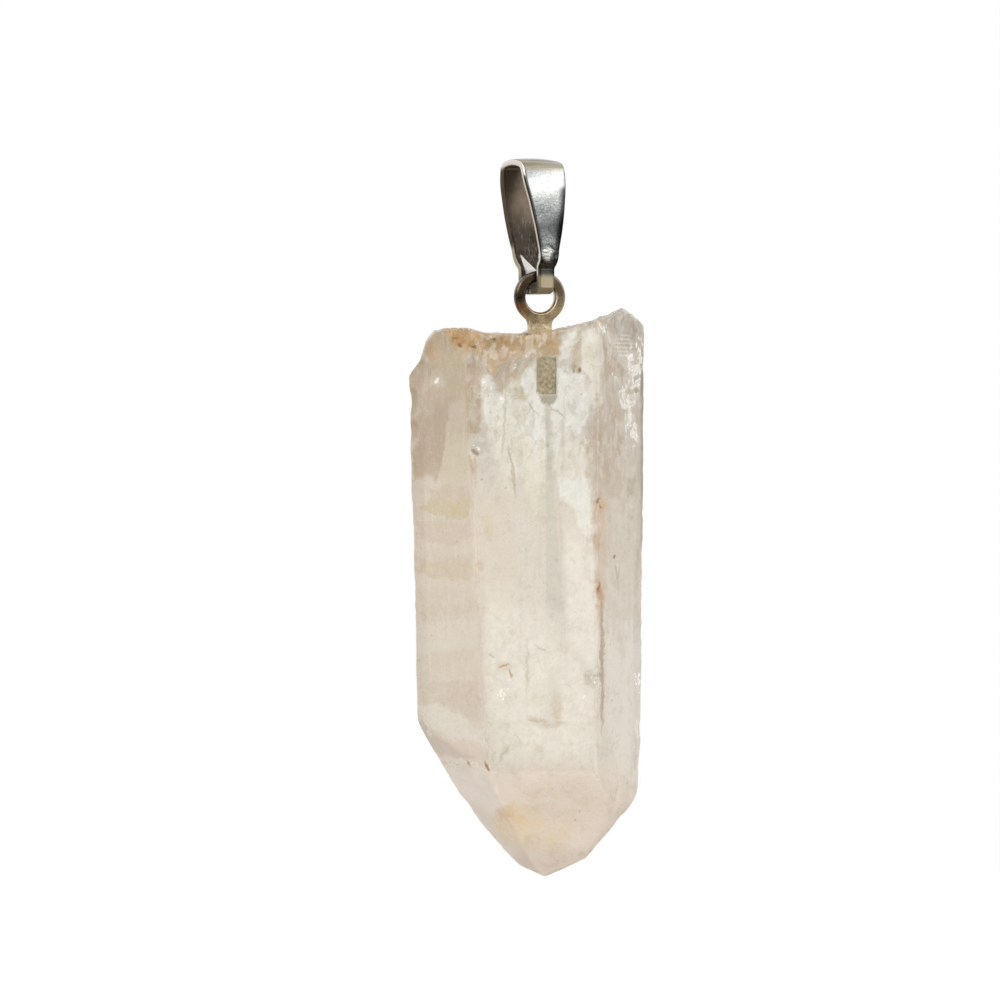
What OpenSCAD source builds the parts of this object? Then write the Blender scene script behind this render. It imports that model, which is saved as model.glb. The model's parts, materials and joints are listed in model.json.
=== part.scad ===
// Crystal point pendant: a natural quartz point hung from a folded strap bail by an eye peg.
// Front is -Y, up is +Z. The origin is the seat of the chain, at the inside top of the bail's loop.

/* [Crystal point] */
// Greatest width of the crystal, from its left edge to its right edge
crystal_w = 17.85; // [16:0.05:24]
// Greatest depth of the crystal, from its front face to its back face
crystal_d = 11.2; // [10:0.05:18]
// Length of the crystal from the seat of the eye peg down to the tip
crystal_l = 42; // [36:0.5:60]

/* [Eye peg] */
// Outer radius of the flat eye
eye_r = 2.02; // [1.95:0.01:2.2]
// Radius of the hole through the eye
eye_hole_r = 1.19; // [1.18:0.01:1.3]
// Thickness of the flat eye
eye_t = 0.72; // [0.6:0.02:0.8]
// Radius of the neck below the eye
neck_r = 0.95; // [0.85:0.01:1.1]
// Radius of the peg inside the crystal
peg_r = 0.68; // [0.5:0.01:0.8]
// Length of the peg below the seat
peg_l = 4.75; // [3:0.05:6.5]

/* [Bail] */
// Height of the bail from the centre of the eye's hole to the top of its loop
bail_h = 10.55; // [10:0.05:12]
// Width of the strap at the top of the loop
strap_top_w = 3.85; // [3:0.05:4.6]
// Width of the strap where it passes over the eye
strap_end_w = 1.4; // [1:0.02:1.44]
// Thickness of the strap
strap_t = 0.5; // [0.4:0.01:0.52]
// Greatest outer depth of the loop
loop_d = 4.3; // [4:0.05:5]

/* [Stance] */
// Turn of the flat eye about the vertical
eye_turn = 17; // [14:1:20]
// Turn of the bail about the vertical
bail_turn = 34; // [20:1:36]
// Lean of the bail's loop towards its back
bail_lean = 4; // [0:0.5:8]
// Distance that the bail has slid back through the eye
bail_slide = 0.34; // [0:0.02:0.4]
// Distance that the strap sits off the middle of the eye, towards the left
bail_aside = 0.06; // [0:0.01:0.08]

/* [Hidden] */
$fn = 96;

// Play between the pieces
eye_play = 0.05;
end_gap = 0.12;
seat_play = 0.04;
bore_play = 0.08;

// The loop leans from this height up, and so its top lies behind the eye's hole by loop_back
lean_from = 1.9;
function lean_at(z) = bail_slide + max(0, z - lean_from) * tan(bail_lean);
loop_back = lean_at(bail_h);

// The centre of the eye's hole, which hangs below the seat of the chain
hole_centre = [
    loop_back * sin(bail_turn) + bail_aside * cos(bail_turn),
    bail_aside * sin(bail_turn) - loop_back * cos(bail_turn),
    strap_t - bail_h
];

// The crystal: corners of its section at the middle, from the left edge counterclockwise.
// Columns: share of the width, share of the depth, both from the peg's axis.
section = [
    [-0.552, 0.116],
    [-0.280, -0.482],
    [0.245, -0.491],
    [0.448, 0.045],
    [0.275, 0.482],
    [-0.370, 0.509]
];
// The wall from each corner to the next leans in towards the tip by this angle
wall_lean = [2.7, 0.2, 0.4, 0.6, 0, -0.3];
// Height of that section, as a share of the length below the seat
section_at = -0.33;

// The faces of the tip. Columns: azimuth of the rise, slope of the rise,
// and a point on the face as shares of the width, of the depth and of the length below the seat.
tip_faces = [
    [-160, 1.42, -0.538, 0.116, -0.698],
    [-90, 1.27, 0, -0.487, -0.796],
    [-31, 1.28, 0.356, -0.196, -0.856],
    [88, 1.35, 0, 0.491, -0.912],
    [173, 1.53, -0.370, 0.509, -0.841],
    [20, 1.28, 0.358, 0.268, -0.854],
    [191, 0.47, 0.045, 0.089, -0.999],
    [-16, 0.43, 0.045, 0.089, -0.990]
];

// The broken top, from left to right. Columns: share of the width, share of the length above the seat.
broken_top = [
    [-0.700, -0.210],
    [-0.560, -0.075],
    [-0.515, -0.050],
    [-0.490, -0.015],
    [-0.455, 0.002],
    [-0.400, 0.007],
    [-0.310, 0.008],
    [-0.250, -0.001],
    [-0.060, -0.004],
    [0.080, 0.006],
    [0.225, 0.020],
    [0.300, 0.032],
    [0.353, 0.044],
    [0.400, 0.034],
    [0.445, 0.016],
    [0.465, -0.010],
    [0.700, -0.100]
];
// The broken top falls towards the front by this angle
top_fall = 2;

// The seat, a small ground flat round the neck, and the drilled hole below it
neck_l = 0.78;
seat_below = eye_r + neck_l;
seat_flat_r = 1.75;
bore_r = peg_r + bore_play;

// The eye's bevelled rims, and the flat web that blends the disc into the neck's round foot.
// The web is a little thinner and narrower than what it joins, and its blend bites into the disc.
rim_bevel = 0.14;
web_inset = 0.04;
web_t = eye_t - 2 * web_inset;
web_half_w = neck_r - web_inset;
foot_h = 0.3;
foot_taper_h = 0.42;
foot_top_r = 0.22;
web_blend_r = 0.9;
web_blend_x = web_half_w + web_blend_r;
web_blend_far = eye_r - web_inset + web_blend_r;
web_blend_z = -sqrt(pow(web_blend_far, 2) - pow(web_blend_x, 2));
web_root = 0.62;

// The bead of glue round the neck, and its section.
// Columns: share of the bead's breadth from the neck, share of its height.
bead_r = 1.5;
bead_h = 0.34;
bead_section = [
    [0, 0],
    [1, 0],
    [0.86, 0.20],
    [0.45, 0.45],
    [0.12, 1],
    [0, 1]
];

// The strap's two ends, which meet inside the hole
strap_turn = bail_turn - eye_turn;
end_side = strap_end_w / 2 + bail_aside;
corner_y = eye_t / 2 + end_side * sin(strap_turn);
// The ends' corners keep clear of the hole where the turned strap leaves the plate
end_reach = end_side * cos(strap_turn) + tan(strap_turn) * corner_y;
end_top_z = sqrt(pow(eye_hole_r - eye_play, 2) - pow(end_reach, 2));
leg_in = corner_y / cos(strap_turn) + eye_play;

// The strap's middle line on one side of the loop, in depth and height.
// A point at lean b is on an arc of the loop where the strap leans in by b as it goes down.
function outward(b) = [cos(b), -sin(b)];
mid_t = strap_t / 2;
// A flat cap, then a tight shoulder that touches both the cap and the side
cap_outer_r = 3.7;
cap_r = cap_outer_r - mid_t;
cap_lean = -72;
cap_c = [0, bail_h - mid_t - cap_r];
shoulder_outer_r = 0.7;
shoulder_r = shoulder_outer_r - mid_t;
shoulder_c = cap_c + (cap_r - shoulder_r) * outward(cap_lean);
side_r = 19;
side_x = loop_d / 2 - mid_t - side_r;
side_c = [side_x, shoulder_c[1] - sqrt(pow(side_r - shoulder_r, 2) - pow(shoulder_c[0] - side_x, 2))];
shoulder_lean = -atan2(shoulder_c[1] - side_c[1], shoulder_c[0] - side_x);
// The side ends in a slight flare, a knuckle and a tuck down to the leg beside the eye
flare_lean = [5, -5];
flare_r = 1.2;
knuckle_r = 1.2;
tuck_r = 0.6;
bend_r = 0.4;
flare_from = side_c + side_r * outward(flare_lean[0]);
flare_c = flare_from + flare_r * outward(flare_lean[0]);
knuckle_from = flare_c - flare_r * outward(flare_lean[1]);
knuckle_c = knuckle_from - knuckle_r * outward(flare_lean[1]);
leg_mid = leg_in + mid_t + bail_slide;
tuck_lean = acos(
    (knuckle_r * cos(flare_lean[1]) + tuck_r - knuckle_from[0] + leg_mid) / (knuckle_r + tuck_r)
);
tuck_from = knuckle_c + knuckle_r * outward(tuck_lean);
tuck_c = tuck_from + tuck_r * outward(tuck_lean);
bend_c = [leg_mid - bend_r, end_top_z - mid_t + bend_r];

// Half width of the strap against height. Columns: share of the bail's height, share of the way
// from the width at the ends to the width at the top.
strap_widths = [
    [-0.20, 0],
    [0.18, 0],
    [0.34, 0.12],
    [0.42, 0.28],
    [0.60, 0.58],
    [0.82, 0.95],
    [0.90, 1],
    [1.10, 1]
];
function strap_half_w(share) = (strap_end_w + share * (strap_top_w - strap_end_w)) / 2;

// Points along an arc of the strap, on the side of the middle line that side names: 1 outside, -1 inside.
// bulge is 1 where the arc's centre is inside the loop and -1 where it is outside.
// Each arc starts one step in, because the arc before it ends where it starts.
function strap_arc(centre, r, from, to, bulge, side, steps) = [
    for (i = [from == -90 ? 0 : 1:steps])
        let (b = from + (to - from) * i / steps)
        centre + bulge * (r + bulge * side * mid_t) * outward(b)
];

// One side of the strap, from the top of the loop down to the end in the hole
function strap_side(side) = concat(
    strap_arc(cap_c, cap_r, -90, cap_lean, 1, side, 4),
    strap_arc(shoulder_c, shoulder_r, cap_lean, shoulder_lean, 1, side, 8),
    strap_arc(side_c, side_r, shoulder_lean, flare_lean[0], 1, side, 10),
    strap_arc(flare_c, flare_r, flare_lean[0], flare_lean[1], -1, side, 4),
    strap_arc(knuckle_c, knuckle_r, flare_lean[1], tuck_lean, 1, side, 10),
    strap_arc(tuck_c, tuck_r, tuck_lean, 0, -1, side, 8),
    strap_arc(bend_c, bend_r, 0, 90, 1, side, 10),
    [[end_gap / 2, bend_c[1] - bend_r - side * mid_t]]
);
function mirrored(points) = [for (p = points) [-p[0], p[1]]];
function reversed(points) = [for (i = [len(points) - 1:-1:0]) points[i]];

// Places what is drawn about the centre of the eye's hole
module at_eye() {
    translate(hole_centre)
        rotate([0, 0, eye_turn])
            children();
}

module at_bail() {
    translate(hole_centre)
        rotate([0, 0, bail_turn])
            translate([-bail_aside, 0, 0])
                children();
}

// Everything below the face through a point, which rises by slope towards azimuth
module below_face(azimuth, slope, point) {
    big = 3 * crystal_l;
    translate(point)
        rotate([0, 0, azimuth])
            rotate([0, -atan(slope), 0])
                translate([-big / 2, -big / 2, -big])
                    cube(big);
}

// Everything outside the wall that goes from one corner of the section to the next
module outside_wall(from, to, lean) {
    big = 3 * crystal_l;
    along = to - from;
    translate([from[0], from[1], section_at * crystal_l])
        rotate([0, 0, atan2(along[1], along[0]) - 90])
            rotate([0, lean, 0])
                translate([0, -big / 2, -big / 2])
                    cube(big);
}

// Everything above the broken top
module above_top() {
    rotate([top_fall, 0, 0])
        rotate([90, 0, 0])
            linear_extrude(height = 3 * crystal_d, center = true)
                polygon(concat(
                    [for (p = broken_top) [p[0] * crystal_w, p[1] * crystal_l]],
                    [[crystal_w, crystal_l], [-crystal_w, crystal_l]]
                ));
}

// The drilled hole, whose round bottom lies just below the peg's end
module peg_bore() {
    translate([0, 0, -peg_l])
        cylinder(r = bore_r, h = peg_l + seat_flat_r);
    translate([0, 0, -peg_l])
        sphere(r = bore_r);
}

module crystal_point() {
    corners = [for (p = section) [p[0] * crystal_w, p[1] * crystal_d]];
    color("antiquewhite", 0.8)
        translate(hole_centre - [0, 0, seat_below])
            difference() {
                translate([-crystal_w, -crystal_d, -1.1 * crystal_l])
                    cube([2 * crystal_w, 2 * crystal_d, 1.3 * crystal_l]);
                for (i = [0:len(corners) - 1])
                    outside_wall(corners[i], corners[(i + 1) % len(corners)], wall_lean[i]);
                for (f = tip_faces)
                    below_face(f[0], f[1], [f[2] * crystal_w, f[3] * crystal_d, f[4] * crystal_l]);
                above_top();
                cylinder(r = seat_flat_r, h = crystal_l);
                peg_bore();
            }
}

// The flat disc with bevelled rims
module eye_disc() {
    half = eye_t / 2;
    rotate([90, 0, 0])
        rotate_extrude()
            polygon([
                [eye_hole_r, -half + rim_bevel],
                [eye_hole_r + rim_bevel, -half],
                [eye_r - rim_bevel, -half],
                [eye_r, -half + rim_bevel],
                [eye_r, half - rim_bevel],
                [eye_r - rim_bevel, half],
                [eye_hole_r + rim_bevel, half],
                [eye_hole_r, half - rim_bevel]
            ]);
}

// The flat web that blends the disc into the neck
module eye_web() {
    steps = 10;
    start = atan2(-web_blend_z, web_blend_x);
    right_edge = concat(
        [[web_root * web_blend_x, web_root * web_blend_z]],
        [for (i = [0:steps])
            let (a = 180 - start * (1 - i / steps))
            [web_blend_x, web_blend_z] + web_blend_r * [cos(a), sin(a)]],
        [[web_half_w, foot_h / 2 - seat_below]]
    );
    rotate([90, 0, 0])
        linear_extrude(height = web_t, center = true)
            polygon(concat(right_edge, mirrored(reversed(right_edge))));
}

module eye_peg() {
    foot_z = -seat_below + seat_play;
    color("tan")
        at_eye() {
            eye_disc();
            eye_web();
            translate([0, 0, foot_z])
                cylinder(r = neck_r, h = foot_h);
            translate([0, 0, foot_z + foot_h])
                cylinder(r1 = neck_r, r2 = foot_top_r, h = foot_taper_h);
            translate([0, 0, -seat_below - peg_l])
                cylinder(r = peg_r, h = peg_l + foot_h / 2);
        }
}

// A bead of clear glue that has crept up the foot of the neck
module glue_bead() {
    inner = neck_r + seat_play;
    color("ivory", 0.6)
        at_eye()
            translate([0, 0, -seat_below + seat_play])
                rotate_extrude()
                    polygon([for (p = bead_section) [inner + p[0] * (bead_r - inner), p[1] * bead_h]]);
}

// The loop seen from its side, wider than the strap
module loop_slab() {
    outside = strap_side(1);
    inside = strap_side(-1);
    outline = concat(
        outside,
        reversed(inside),
        mirrored([for (i = [1:len(inside) - 1]) inside[i]]),
        mirrored(reversed([for (i = [1:len(outside) - 1]) outside[i]]))
    );
    rotate([90, 0, 90])
        linear_extrude(height = 2 * strap_top_w, center = true)
            polygon([for (p = outline) [p[0] + lean_at(p[1]), p[1]]]);
}

// The strap's outline seen from the front, tapering down to its ends
module strap_outline() {
    right_edge = [for (r = strap_widths) [strap_half_w(r[1]), r[0] * bail_h]];
    rotate([90, 0, 0])
        linear_extrude(height = 2 * loop_d, center = true)
            polygon(concat(right_edge, mirrored(reversed(right_edge))));
}

module bail() {
    color("darkgray")
        at_bail()
            intersection() {
                loop_slab();
                strap_outline();
            }
}

crystal_point();
eye_peg();
glue_bead();
bail();
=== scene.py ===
"""The looks of the crystal point pendant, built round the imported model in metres."""

import json
import math
from types import SimpleNamespace

import bmesh
import bpy
import numpy as np
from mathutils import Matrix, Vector, noise


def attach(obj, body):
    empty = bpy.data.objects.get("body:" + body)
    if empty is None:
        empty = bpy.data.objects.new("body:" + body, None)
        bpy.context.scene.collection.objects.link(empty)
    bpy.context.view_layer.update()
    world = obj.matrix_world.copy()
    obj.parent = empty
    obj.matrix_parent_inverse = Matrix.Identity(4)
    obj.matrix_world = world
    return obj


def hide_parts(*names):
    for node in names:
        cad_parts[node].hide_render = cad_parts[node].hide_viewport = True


MM = 0.001
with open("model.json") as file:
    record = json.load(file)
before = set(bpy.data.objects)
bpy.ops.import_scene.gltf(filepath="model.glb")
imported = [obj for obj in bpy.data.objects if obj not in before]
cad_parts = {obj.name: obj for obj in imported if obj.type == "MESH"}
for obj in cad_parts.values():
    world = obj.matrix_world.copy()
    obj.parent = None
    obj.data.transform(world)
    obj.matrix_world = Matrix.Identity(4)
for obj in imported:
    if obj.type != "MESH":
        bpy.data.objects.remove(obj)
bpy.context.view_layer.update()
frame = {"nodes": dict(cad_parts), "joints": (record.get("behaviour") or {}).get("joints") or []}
NODES = frame["nodes"]

# The centre of the eye's hole, the seat of the peg below it, and the photograph's scale
HOLE = np.array(frame["joints"][0]["pos_m"]) / MM
SEAT_BELOW = 2.8
SEAT = HOLE - np.array([0, 0, SEAT_BELOW])
HOLE_Z, SEAT_Z = float(HOLE[2]), float(SEAT[2])
PX_PER_MM = 13.0
HOLE_PX = (539.5, 297.0)


def photo(px, py):
    """The X and Z in mm of a pixel of the photograph, on the plane of the hole's centre."""
    return HOLE[0] + (px - HOLE_PX[0]) / PX_PER_MM, HOLE[2] - (py - HOLE_PX[1]) / PX_PER_MM


def rgb(r, g, b):
    """A colour given as it shows on a screen, 0 to 255, as Blender's linear colour."""
    def linear(c):
        c /= 255
        return c / 12.92 if c <= 0.04045 else ((c + 0.055) / 1.055) ** 2.4
    return (linear(r), linear(g), linear(b), 1.0)


# Camera, lights and backdrop

PHOTO_PX = 1000
CAMERA_AWAY = 500.0
FRONT_Y = -0.5


def make_camera():
    """A camera straight in front, whose picture is the photograph's frame."""
    x, z = photo(PHOTO_PX / 2, PHOTO_PX / 2)
    data = bpy.data.cameras.new("camera")
    data.sensor_width = 36.0
    data.lens = data.sensor_width * CAMERA_AWAY / (PHOTO_PX / PX_PER_MM)
    data.clip_start, data.clip_end = 0.01, 20.0
    cam = bpy.data.objects.new("camera", data)
    cam.location = Vector((x, FRONT_Y - CAMERA_AWAY, z)) * MM
    cam.rotation_euler = (math.radians(90), 0, 0)
    bpy.context.scene.collection.objects.link(cam)
    bpy.context.scene.camera = cam


# The middle of the crystal, which the lights face
LIT = (-2, 0, -22)


def softbox(name, at, size, power, colour=(1, 1, 1), mirrored=True):
    """An oblong area light that faces the crystal. at and size are in mm. Shiny faces
    mirror it where mirrored is true."""
    data = bpy.data.lights.new(name, "AREA")
    data.shape = "RECTANGLE"
    data.size, data.size_y = size[0] * MM, size[1] * MM
    data.energy = power
    data.color = colour
    lamp = bpy.data.objects.new(name, data)
    lamp.location = Vector(at) * MM
    aim = Vector(LIT) * MM - lamp.location
    lamp.rotation_euler = aim.to_track_quat("-Z", "Y").to_euler()
    lamp.visible_glossy = mirrored
    bpy.context.scene.collection.objects.link(lamp)


class Tree:
    """Adds nodes to a node tree. node gives back the node, every other method its output."""

    def __init__(self, tree):
        self.tree = tree
        tree.nodes.clear()

    def node(self, kind, inputs=None, **props):
        n = self.tree.nodes.new("ShaderNode" + kind)
        for k, v in props.items():
            setattr(n, k, v)
        for k, v in (inputs or {}).items():
            if isinstance(v, bpy.types.NodeSocket):
                self.tree.links.new(v, n.inputs[k])
            else:
                n.inputs[k].default_value = v
        return n

    def math(self, op, a, b=0.0, clamp=False):
        return self.node("Math", {0: a, 1: b}, operation=op, use_clamp=clamp).outputs[0]

    def vector(self, op, a, b=(0, 0, 0)):
        n = self.node("VectorMath", {0: a, 1: b}, operation=op)
        return n.outputs["Value" if op in ("LENGTH", "DOT_PRODUCT") else "Vector"]

    def mul(self, product, *factors):
        for factor in factors:
            product = self.math("MULTIPLY", product, factor)
        return product

    def add(self, a, b):
        return self.math("ADD", a, b)

    def sub(self, a, b):
        return self.math("SUBTRACT", a, b)

    def scaled(self, a, by):
        return self.node("VectorMath", {0: a, "Scale": by}, operation="SCALE").outputs[0]

    def place(self):
        """Where a point is on its object, in mm."""
        return self.scaled(self.node("TexCoord").outputs["Object"], 1 / MM)

    def ramp(self, value, low, high, to_low=0.0, to_high=1.0):
        """to_low where value is low, to_high where it is high, and smooth between them."""
        return self.node(
            "MapRange",
            {"Value": value, "From Min": low, "From Max": high, "To Min": to_low, "To Max": to_high},
            interpolation_type="SMOOTHSTEP",
        ).outputs[0]

    def colour(self, share, a, b, how="MIX"):
        """a where share is 0 and b where it is 1. A colour of three values is as on a screen,
        one of four is linear."""
        a, b = (rgb(*c) if isinstance(c, tuple) and len(c) == 3 else c for c in (a, b))
        n = self.node("Mix", {0: share, 6: a, 7: b}, data_type="RGBA", blend_type=how)
        return n.outputs[2]

    def over(self, col, tone, *shares):
        """col with tone laid over it, as far as the product of the shares says."""
        return self.colour(self.mul(*shares), col, tone)

    def lerp(self, share, a, b):
        return self.node("Mix", {0: share, 2: a, 3: b}, data_type="FLOAT").outputs[0]

    def noise(self, where, scale, detail=3.0, rough=0.5, stretch=None, colour=False, distort=0.0):
        if stretch:
            where = self.vector("MULTIPLY", where, stretch)
        n = self.node(
            "TexNoise",
            {"Vector": where, "Scale": scale, "Detail": detail, "Roughness": rough, "Distortion": distort},
        )
        return n.outputs["Color" if colour else 0]

    def jitter(self, where, scale):
        """Vectors of noise about 0."""
        return self.vector("SUBTRACT", self.noise(where, scale, 4, 0.65, colour=True), (0.5, 0.5, 0.5))

    def cells(self, where, scale, feature="F1", stretch=None, out="Distance"):
        if stretch:
            where = self.vector("MULTIPLY", where, stretch)
        n = self.node("TexVoronoi", {"Vector": where, "Scale": scale}, feature=feature)
        return n.outputs[out]

    def split(self, where):
        return self.node("SeparateXYZ", {0: where}).outputs

    def spot(self, where, px, py, rx, ry, turn=0.0, soft=0.5):
        """1 in an oval about a pixel of the photograph, seen from the front, and 0 outside it.
        rx and ry are in pixels, turn is in degrees clockwise, and soft is the share that fades."""
        x, z = photo(px, py)
        moved = self.node(
            "Mapping",
            {
                "Vector": where,
                "Location": (x, 0, z),
                "Rotation": (0, math.radians(turn), 0),
                "Scale": (rx / PX_PER_MM, 1e4, ry / PX_PER_MM),
            },
            vector_type="TEXTURE",
        ).outputs[0]
        return self.ramp(self.vector("LENGTH", moved), 1 + soft / 2, 1 - soft / 2)

    def wedge(self, where, corners, soft=0.06):
        """1 between corners given clockwise as pixels of the photograph, and 0 outside them.
        soft is the breadth in mm over which the edges fade."""
        inside = 1.0
        ends = [Vector((x, 0, z)) for x, z in (photo(*c) for c in corners)]
        for a, b in zip(ends, ends[1:] + ends[:1]):
            outward_way = Vector((a.z - b.z, 0, b.x - a.x)).normalized()
            along = self.vector("DOT_PRODUCT", where, tuple(outward_way))
            inside = self.mul(inside, self.ramp(self.sub(along, outward_way.dot(a)), soft, 0))
        return inside

    def bump(self, height, depth, strength=1.0, normal=None):
        ins = {"Height": height, "Distance": depth * MM, "Strength": strength}
        if normal:
            ins["Normal"] = normal
        return self.node("Bump", ins).outputs[0]


def material(name):
    """A new material and the tree of its nodes."""
    m = bpy.data.materials.new(name)
    m.use_nodes = True
    return m, Tree(m.node_tree)


SHADER_INPUTS = {
    "base": "Base Color", "metallic": "Metallic", "rough": "Roughness", "ior": "IOR", "normal": "Normal",
    "clear": "Transmission Weight", "glow": "Emission Color", "glow_strength": "Emission Strength",
}


def principled(t, **ins):
    """Ends a material's tree in one shader with the given inputs."""
    shader = t.node("BsdfPrincipled", {SHADER_INPUTS[k]: v for k, v in ins.items()})
    t.node("OutputMaterial", {"Surface": shader.outputs[0]})


def make_world():
    """White where the camera looks past the pendant. All other rays see a room: bright behind
    the pendant, dim above and below, with a dark wall, a bright strip and a bright patch on
    the right, which the bail's turned front mirrors."""
    world = bpy.data.worlds.new("studio")
    world.use_nodes = True
    bpy.context.scene.world = world
    t = Tree(world.node_tree)
    way = t.node("TexCoord").outputs["Generated"]
    height = t.split(way)[2]

    def towards(direction, edge, full):
        aim = Vector(direction).normalized()
        return t.ramp(t.vector("DOT_PRODUCT", way, tuple(aim)), edge, full)

    room = t.colour(towards((0, -0.45, 0.89), -0.6, 0.9), (0.62, 0.61, 0.59, 1), (0.98, 0.98, 0.97, 1))
    room = t.over(room, (0.97, 0.975, 0.97, 1), towards((0, 1, 0.1), 0.15, 0.6))
    room = t.over(room, (0.72, 0.68, 0.60, 1), towards((0.2, -0.1, 1), 0.80, 0.93))
    room = t.over(room, (0.16, 0.15, 0.13, 1), towards((0, 0, -1), 0.15, 0.4))
    low = t.ramp(height, 0.27, 0.13)
    room = t.over(room, (0.30, 0.315, 0.31, 1), towards((0.93, -0.36, -0.05), 0.74, 0.90), low)
    room = t.over(room, (0.05, 0.05, 0.05, 1), towards((0.99, 0.12, -0.02), 0.86, 0.96), low)
    at_strip = towards((0.85, -0.345, 0.4), 0.80, 0.88)
    room = t.over(room, (2.0, 2.0, 1.98, 1), t.ramp(height, 0.27, 0.37), t.ramp(height, 0.50, 0.46), at_strip)
    room = t.over(room, (2.0, 2.0, 1.95, 1), towards((0.90, -0.40, -0.17), 0.972, 0.990))
    room = t.over(room, (0.30, 0.26, 0.20, 1), towards((0.45, -0.88, -0.1), 0.9, 0.985))
    is_camera = t.node("LightPath").outputs["Is Camera Ray"]
    shown = t.colour(is_camera, room, (1, 1, 1, 1))
    back = t.node("Background", {"Color": shown, "Strength": 1.0}).outputs[0]
    t.node("OutputWorld", {"Surface": back})


FLOOR_Z = -78.0
FLOOR_R = 420.0


def make_floor():
    """A pale round floor under the pendant."""
    bm = bmesh.new()
    bmesh.ops.create_circle(bm, cap_ends=True, segments=96, radius=FLOOR_R * MM)
    mesh = bpy.data.meshes.new("floor")
    bm.to_mesh(mesh)
    bm.free()
    floor = bpy.data.objects.new("floor", mesh)
    floor.location = (0, 0, FLOOR_Z * MM)
    bpy.context.scene.collection.objects.link(floor)
    floor.visible_glossy = False
    m, t = material("floor")
    faint = t.ramp(t.noise(t.place(), 0.02, 4), 0.3, 0.7, 0.90, 0.93)
    shown = t.node("CombineColor", {0: faint, 1: faint, 2: faint}).outputs[0]
    is_camera = t.node("LightPath").outputs["Is Camera Ray"]
    pale = t.colour(is_camera, (0.80, 0.80, 0.80, 1), shown)
    principled(t, base=pale, rough=0.9, glow=(1, 1, 1, 1), glow_strength=t.lerp(is_camera, 0.14, 0.22))
    mesh.materials.append(m)


make_camera()
make_world()
make_floor()
softbox("key", (-160, -260, 150), (220, 220), 0.34, (0.99, 0.99, 1.0))
softbox("overhead", (60, -60, 260), (200, 120), 0.18, mirrored=False)
softbox("fill", (240, -160, 40), (60, 160), 0.10, mirrored=False)
bpy.context.scene.view_settings.view_transform = "Standard"
bpy.context.scene.view_settings.look = "None"
bpy.context.scene.cycles.max_bounces = 16
bpy.context.scene.cycles.transmission_bounces = 12
bpy.context.scene.cycles.transparent_max_bounces = 12


# Meshes

def new_piece(name, mesh, body, stands_for):
    """A piece of that mesh, which rides on the body and replaces the CAD node that it stands for."""
    piece = bpy.data.objects.new(name, mesh)
    bpy.context.scene.collection.objects.link(piece)
    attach(piece, body)
    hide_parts(stands_for)


def remeshed(node, voxel, softened=0):
    """A copy of a CAD node's mesh in even squares of that size in mm, with its vertices in mm.
    softened is how often its corners are smoothed."""
    mesh = NODES[node].data.copy()
    mesh.materials.clear()
    holder = bpy.data.objects.new("remeshing", mesh)
    bpy.context.scene.collection.objects.link(holder)
    mod = holder.modifiers.new("remesh", "REMESH")
    mod.mode = "VOXEL"
    mod.voxel_size = voxel * MM
    mod.use_smooth_shade = True
    if softened:
        smooth = holder.modifiers.new("smooth", "SMOOTH")
        smooth.factor, smooth.iterations = 0.5, softened
    graph = bpy.context.evaluated_depsgraph_get()
    made = bpy.data.meshes.new_from_object(holder.evaluated_get(graph))
    bpy.data.objects.remove(holder)
    co = np.empty(len(made.vertices) * 3)
    made.vertices.foreach_get("co", co)
    return made, co.reshape(-1, 3) / MM


def set_points(mesh, co):
    """Moves the mesh's vertices to co, in mm."""
    mesh.vertices.foreach_set("co", (co * MM).ravel())
    mesh.update()


def edit(mesh, change):
    """Applies a change that takes a bmesh to the mesh."""
    bm = bmesh.new()
    bm.from_mesh(mesh)
    change(bm)
    bm.to_mesh(mesh)
    bm.free()


def noise_at(points, scale, octaves=3, seed=0.0):
    """Fractal noise from about -1 to 1 at each point, at waves of about scale mm."""
    off = Vector((seed, 1.7 * seed, -seed))
    return np.array([
        noise.fractal(Vector(p) / scale + off, 0.8, 2.0, octaves, noise_basis="PERLIN_ORIGINAL")
        for p in points
    ])


# The crystal's form: the corners of its section, the lean of its walls and the faces of its tip,
# the same as the model's, about the seat
WIDTH, DEPTH, LENGTH = 17.85, 11.2, 42.0
SECTION = [
    (-0.552, 0.116), (-0.280, -0.482), (0.245, -0.491), (0.448, 0.045), (0.275, 0.482), (-0.370, 0.509),
]
WALL_LEAN = [2.7, 0.2, 0.4, 0.6, 0, -0.3]
SECTION_AT = -0.33
TIP_FACES = [
    (-160, 1.42, -0.538, 0.116, -0.698),
    (-90, 1.27, 0, -0.487, -0.796),
    (-31, 1.28, 0.356, -0.196, -0.856),
    (88, 1.35, 0, 0.491, -0.912),
    (173, 1.53, -0.370, 0.509, -0.841),
    (20, 1.28, 0.358, 0.268, -0.854),
    (191, 0.47, 0.045, 0.089, -0.999),
    (-16, 0.43, 0.045, 0.089, -0.990),
]
BROKEN_TOP = [
    (-0.700, -0.210), (-0.560, -0.075), (-0.515, -0.050), (-0.490, -0.015), (-0.455, 0.002), (-0.400, 0.007),
    (-0.310, 0.008), (-0.250, -0.001), (-0.060, -0.004), (0.080, 0.006), (0.225, 0.020), (0.300, 0.032),
    (0.353, 0.044), (0.400, 0.034), (0.445, 0.016), (0.465, -0.010), (0.700, -0.100),
]
TOP_FALL = 2.0
SEAT_FLAT_R = 1.75
BORE_R, BORE_L = 0.76, 4.75
PEG_L = 4.75


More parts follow.
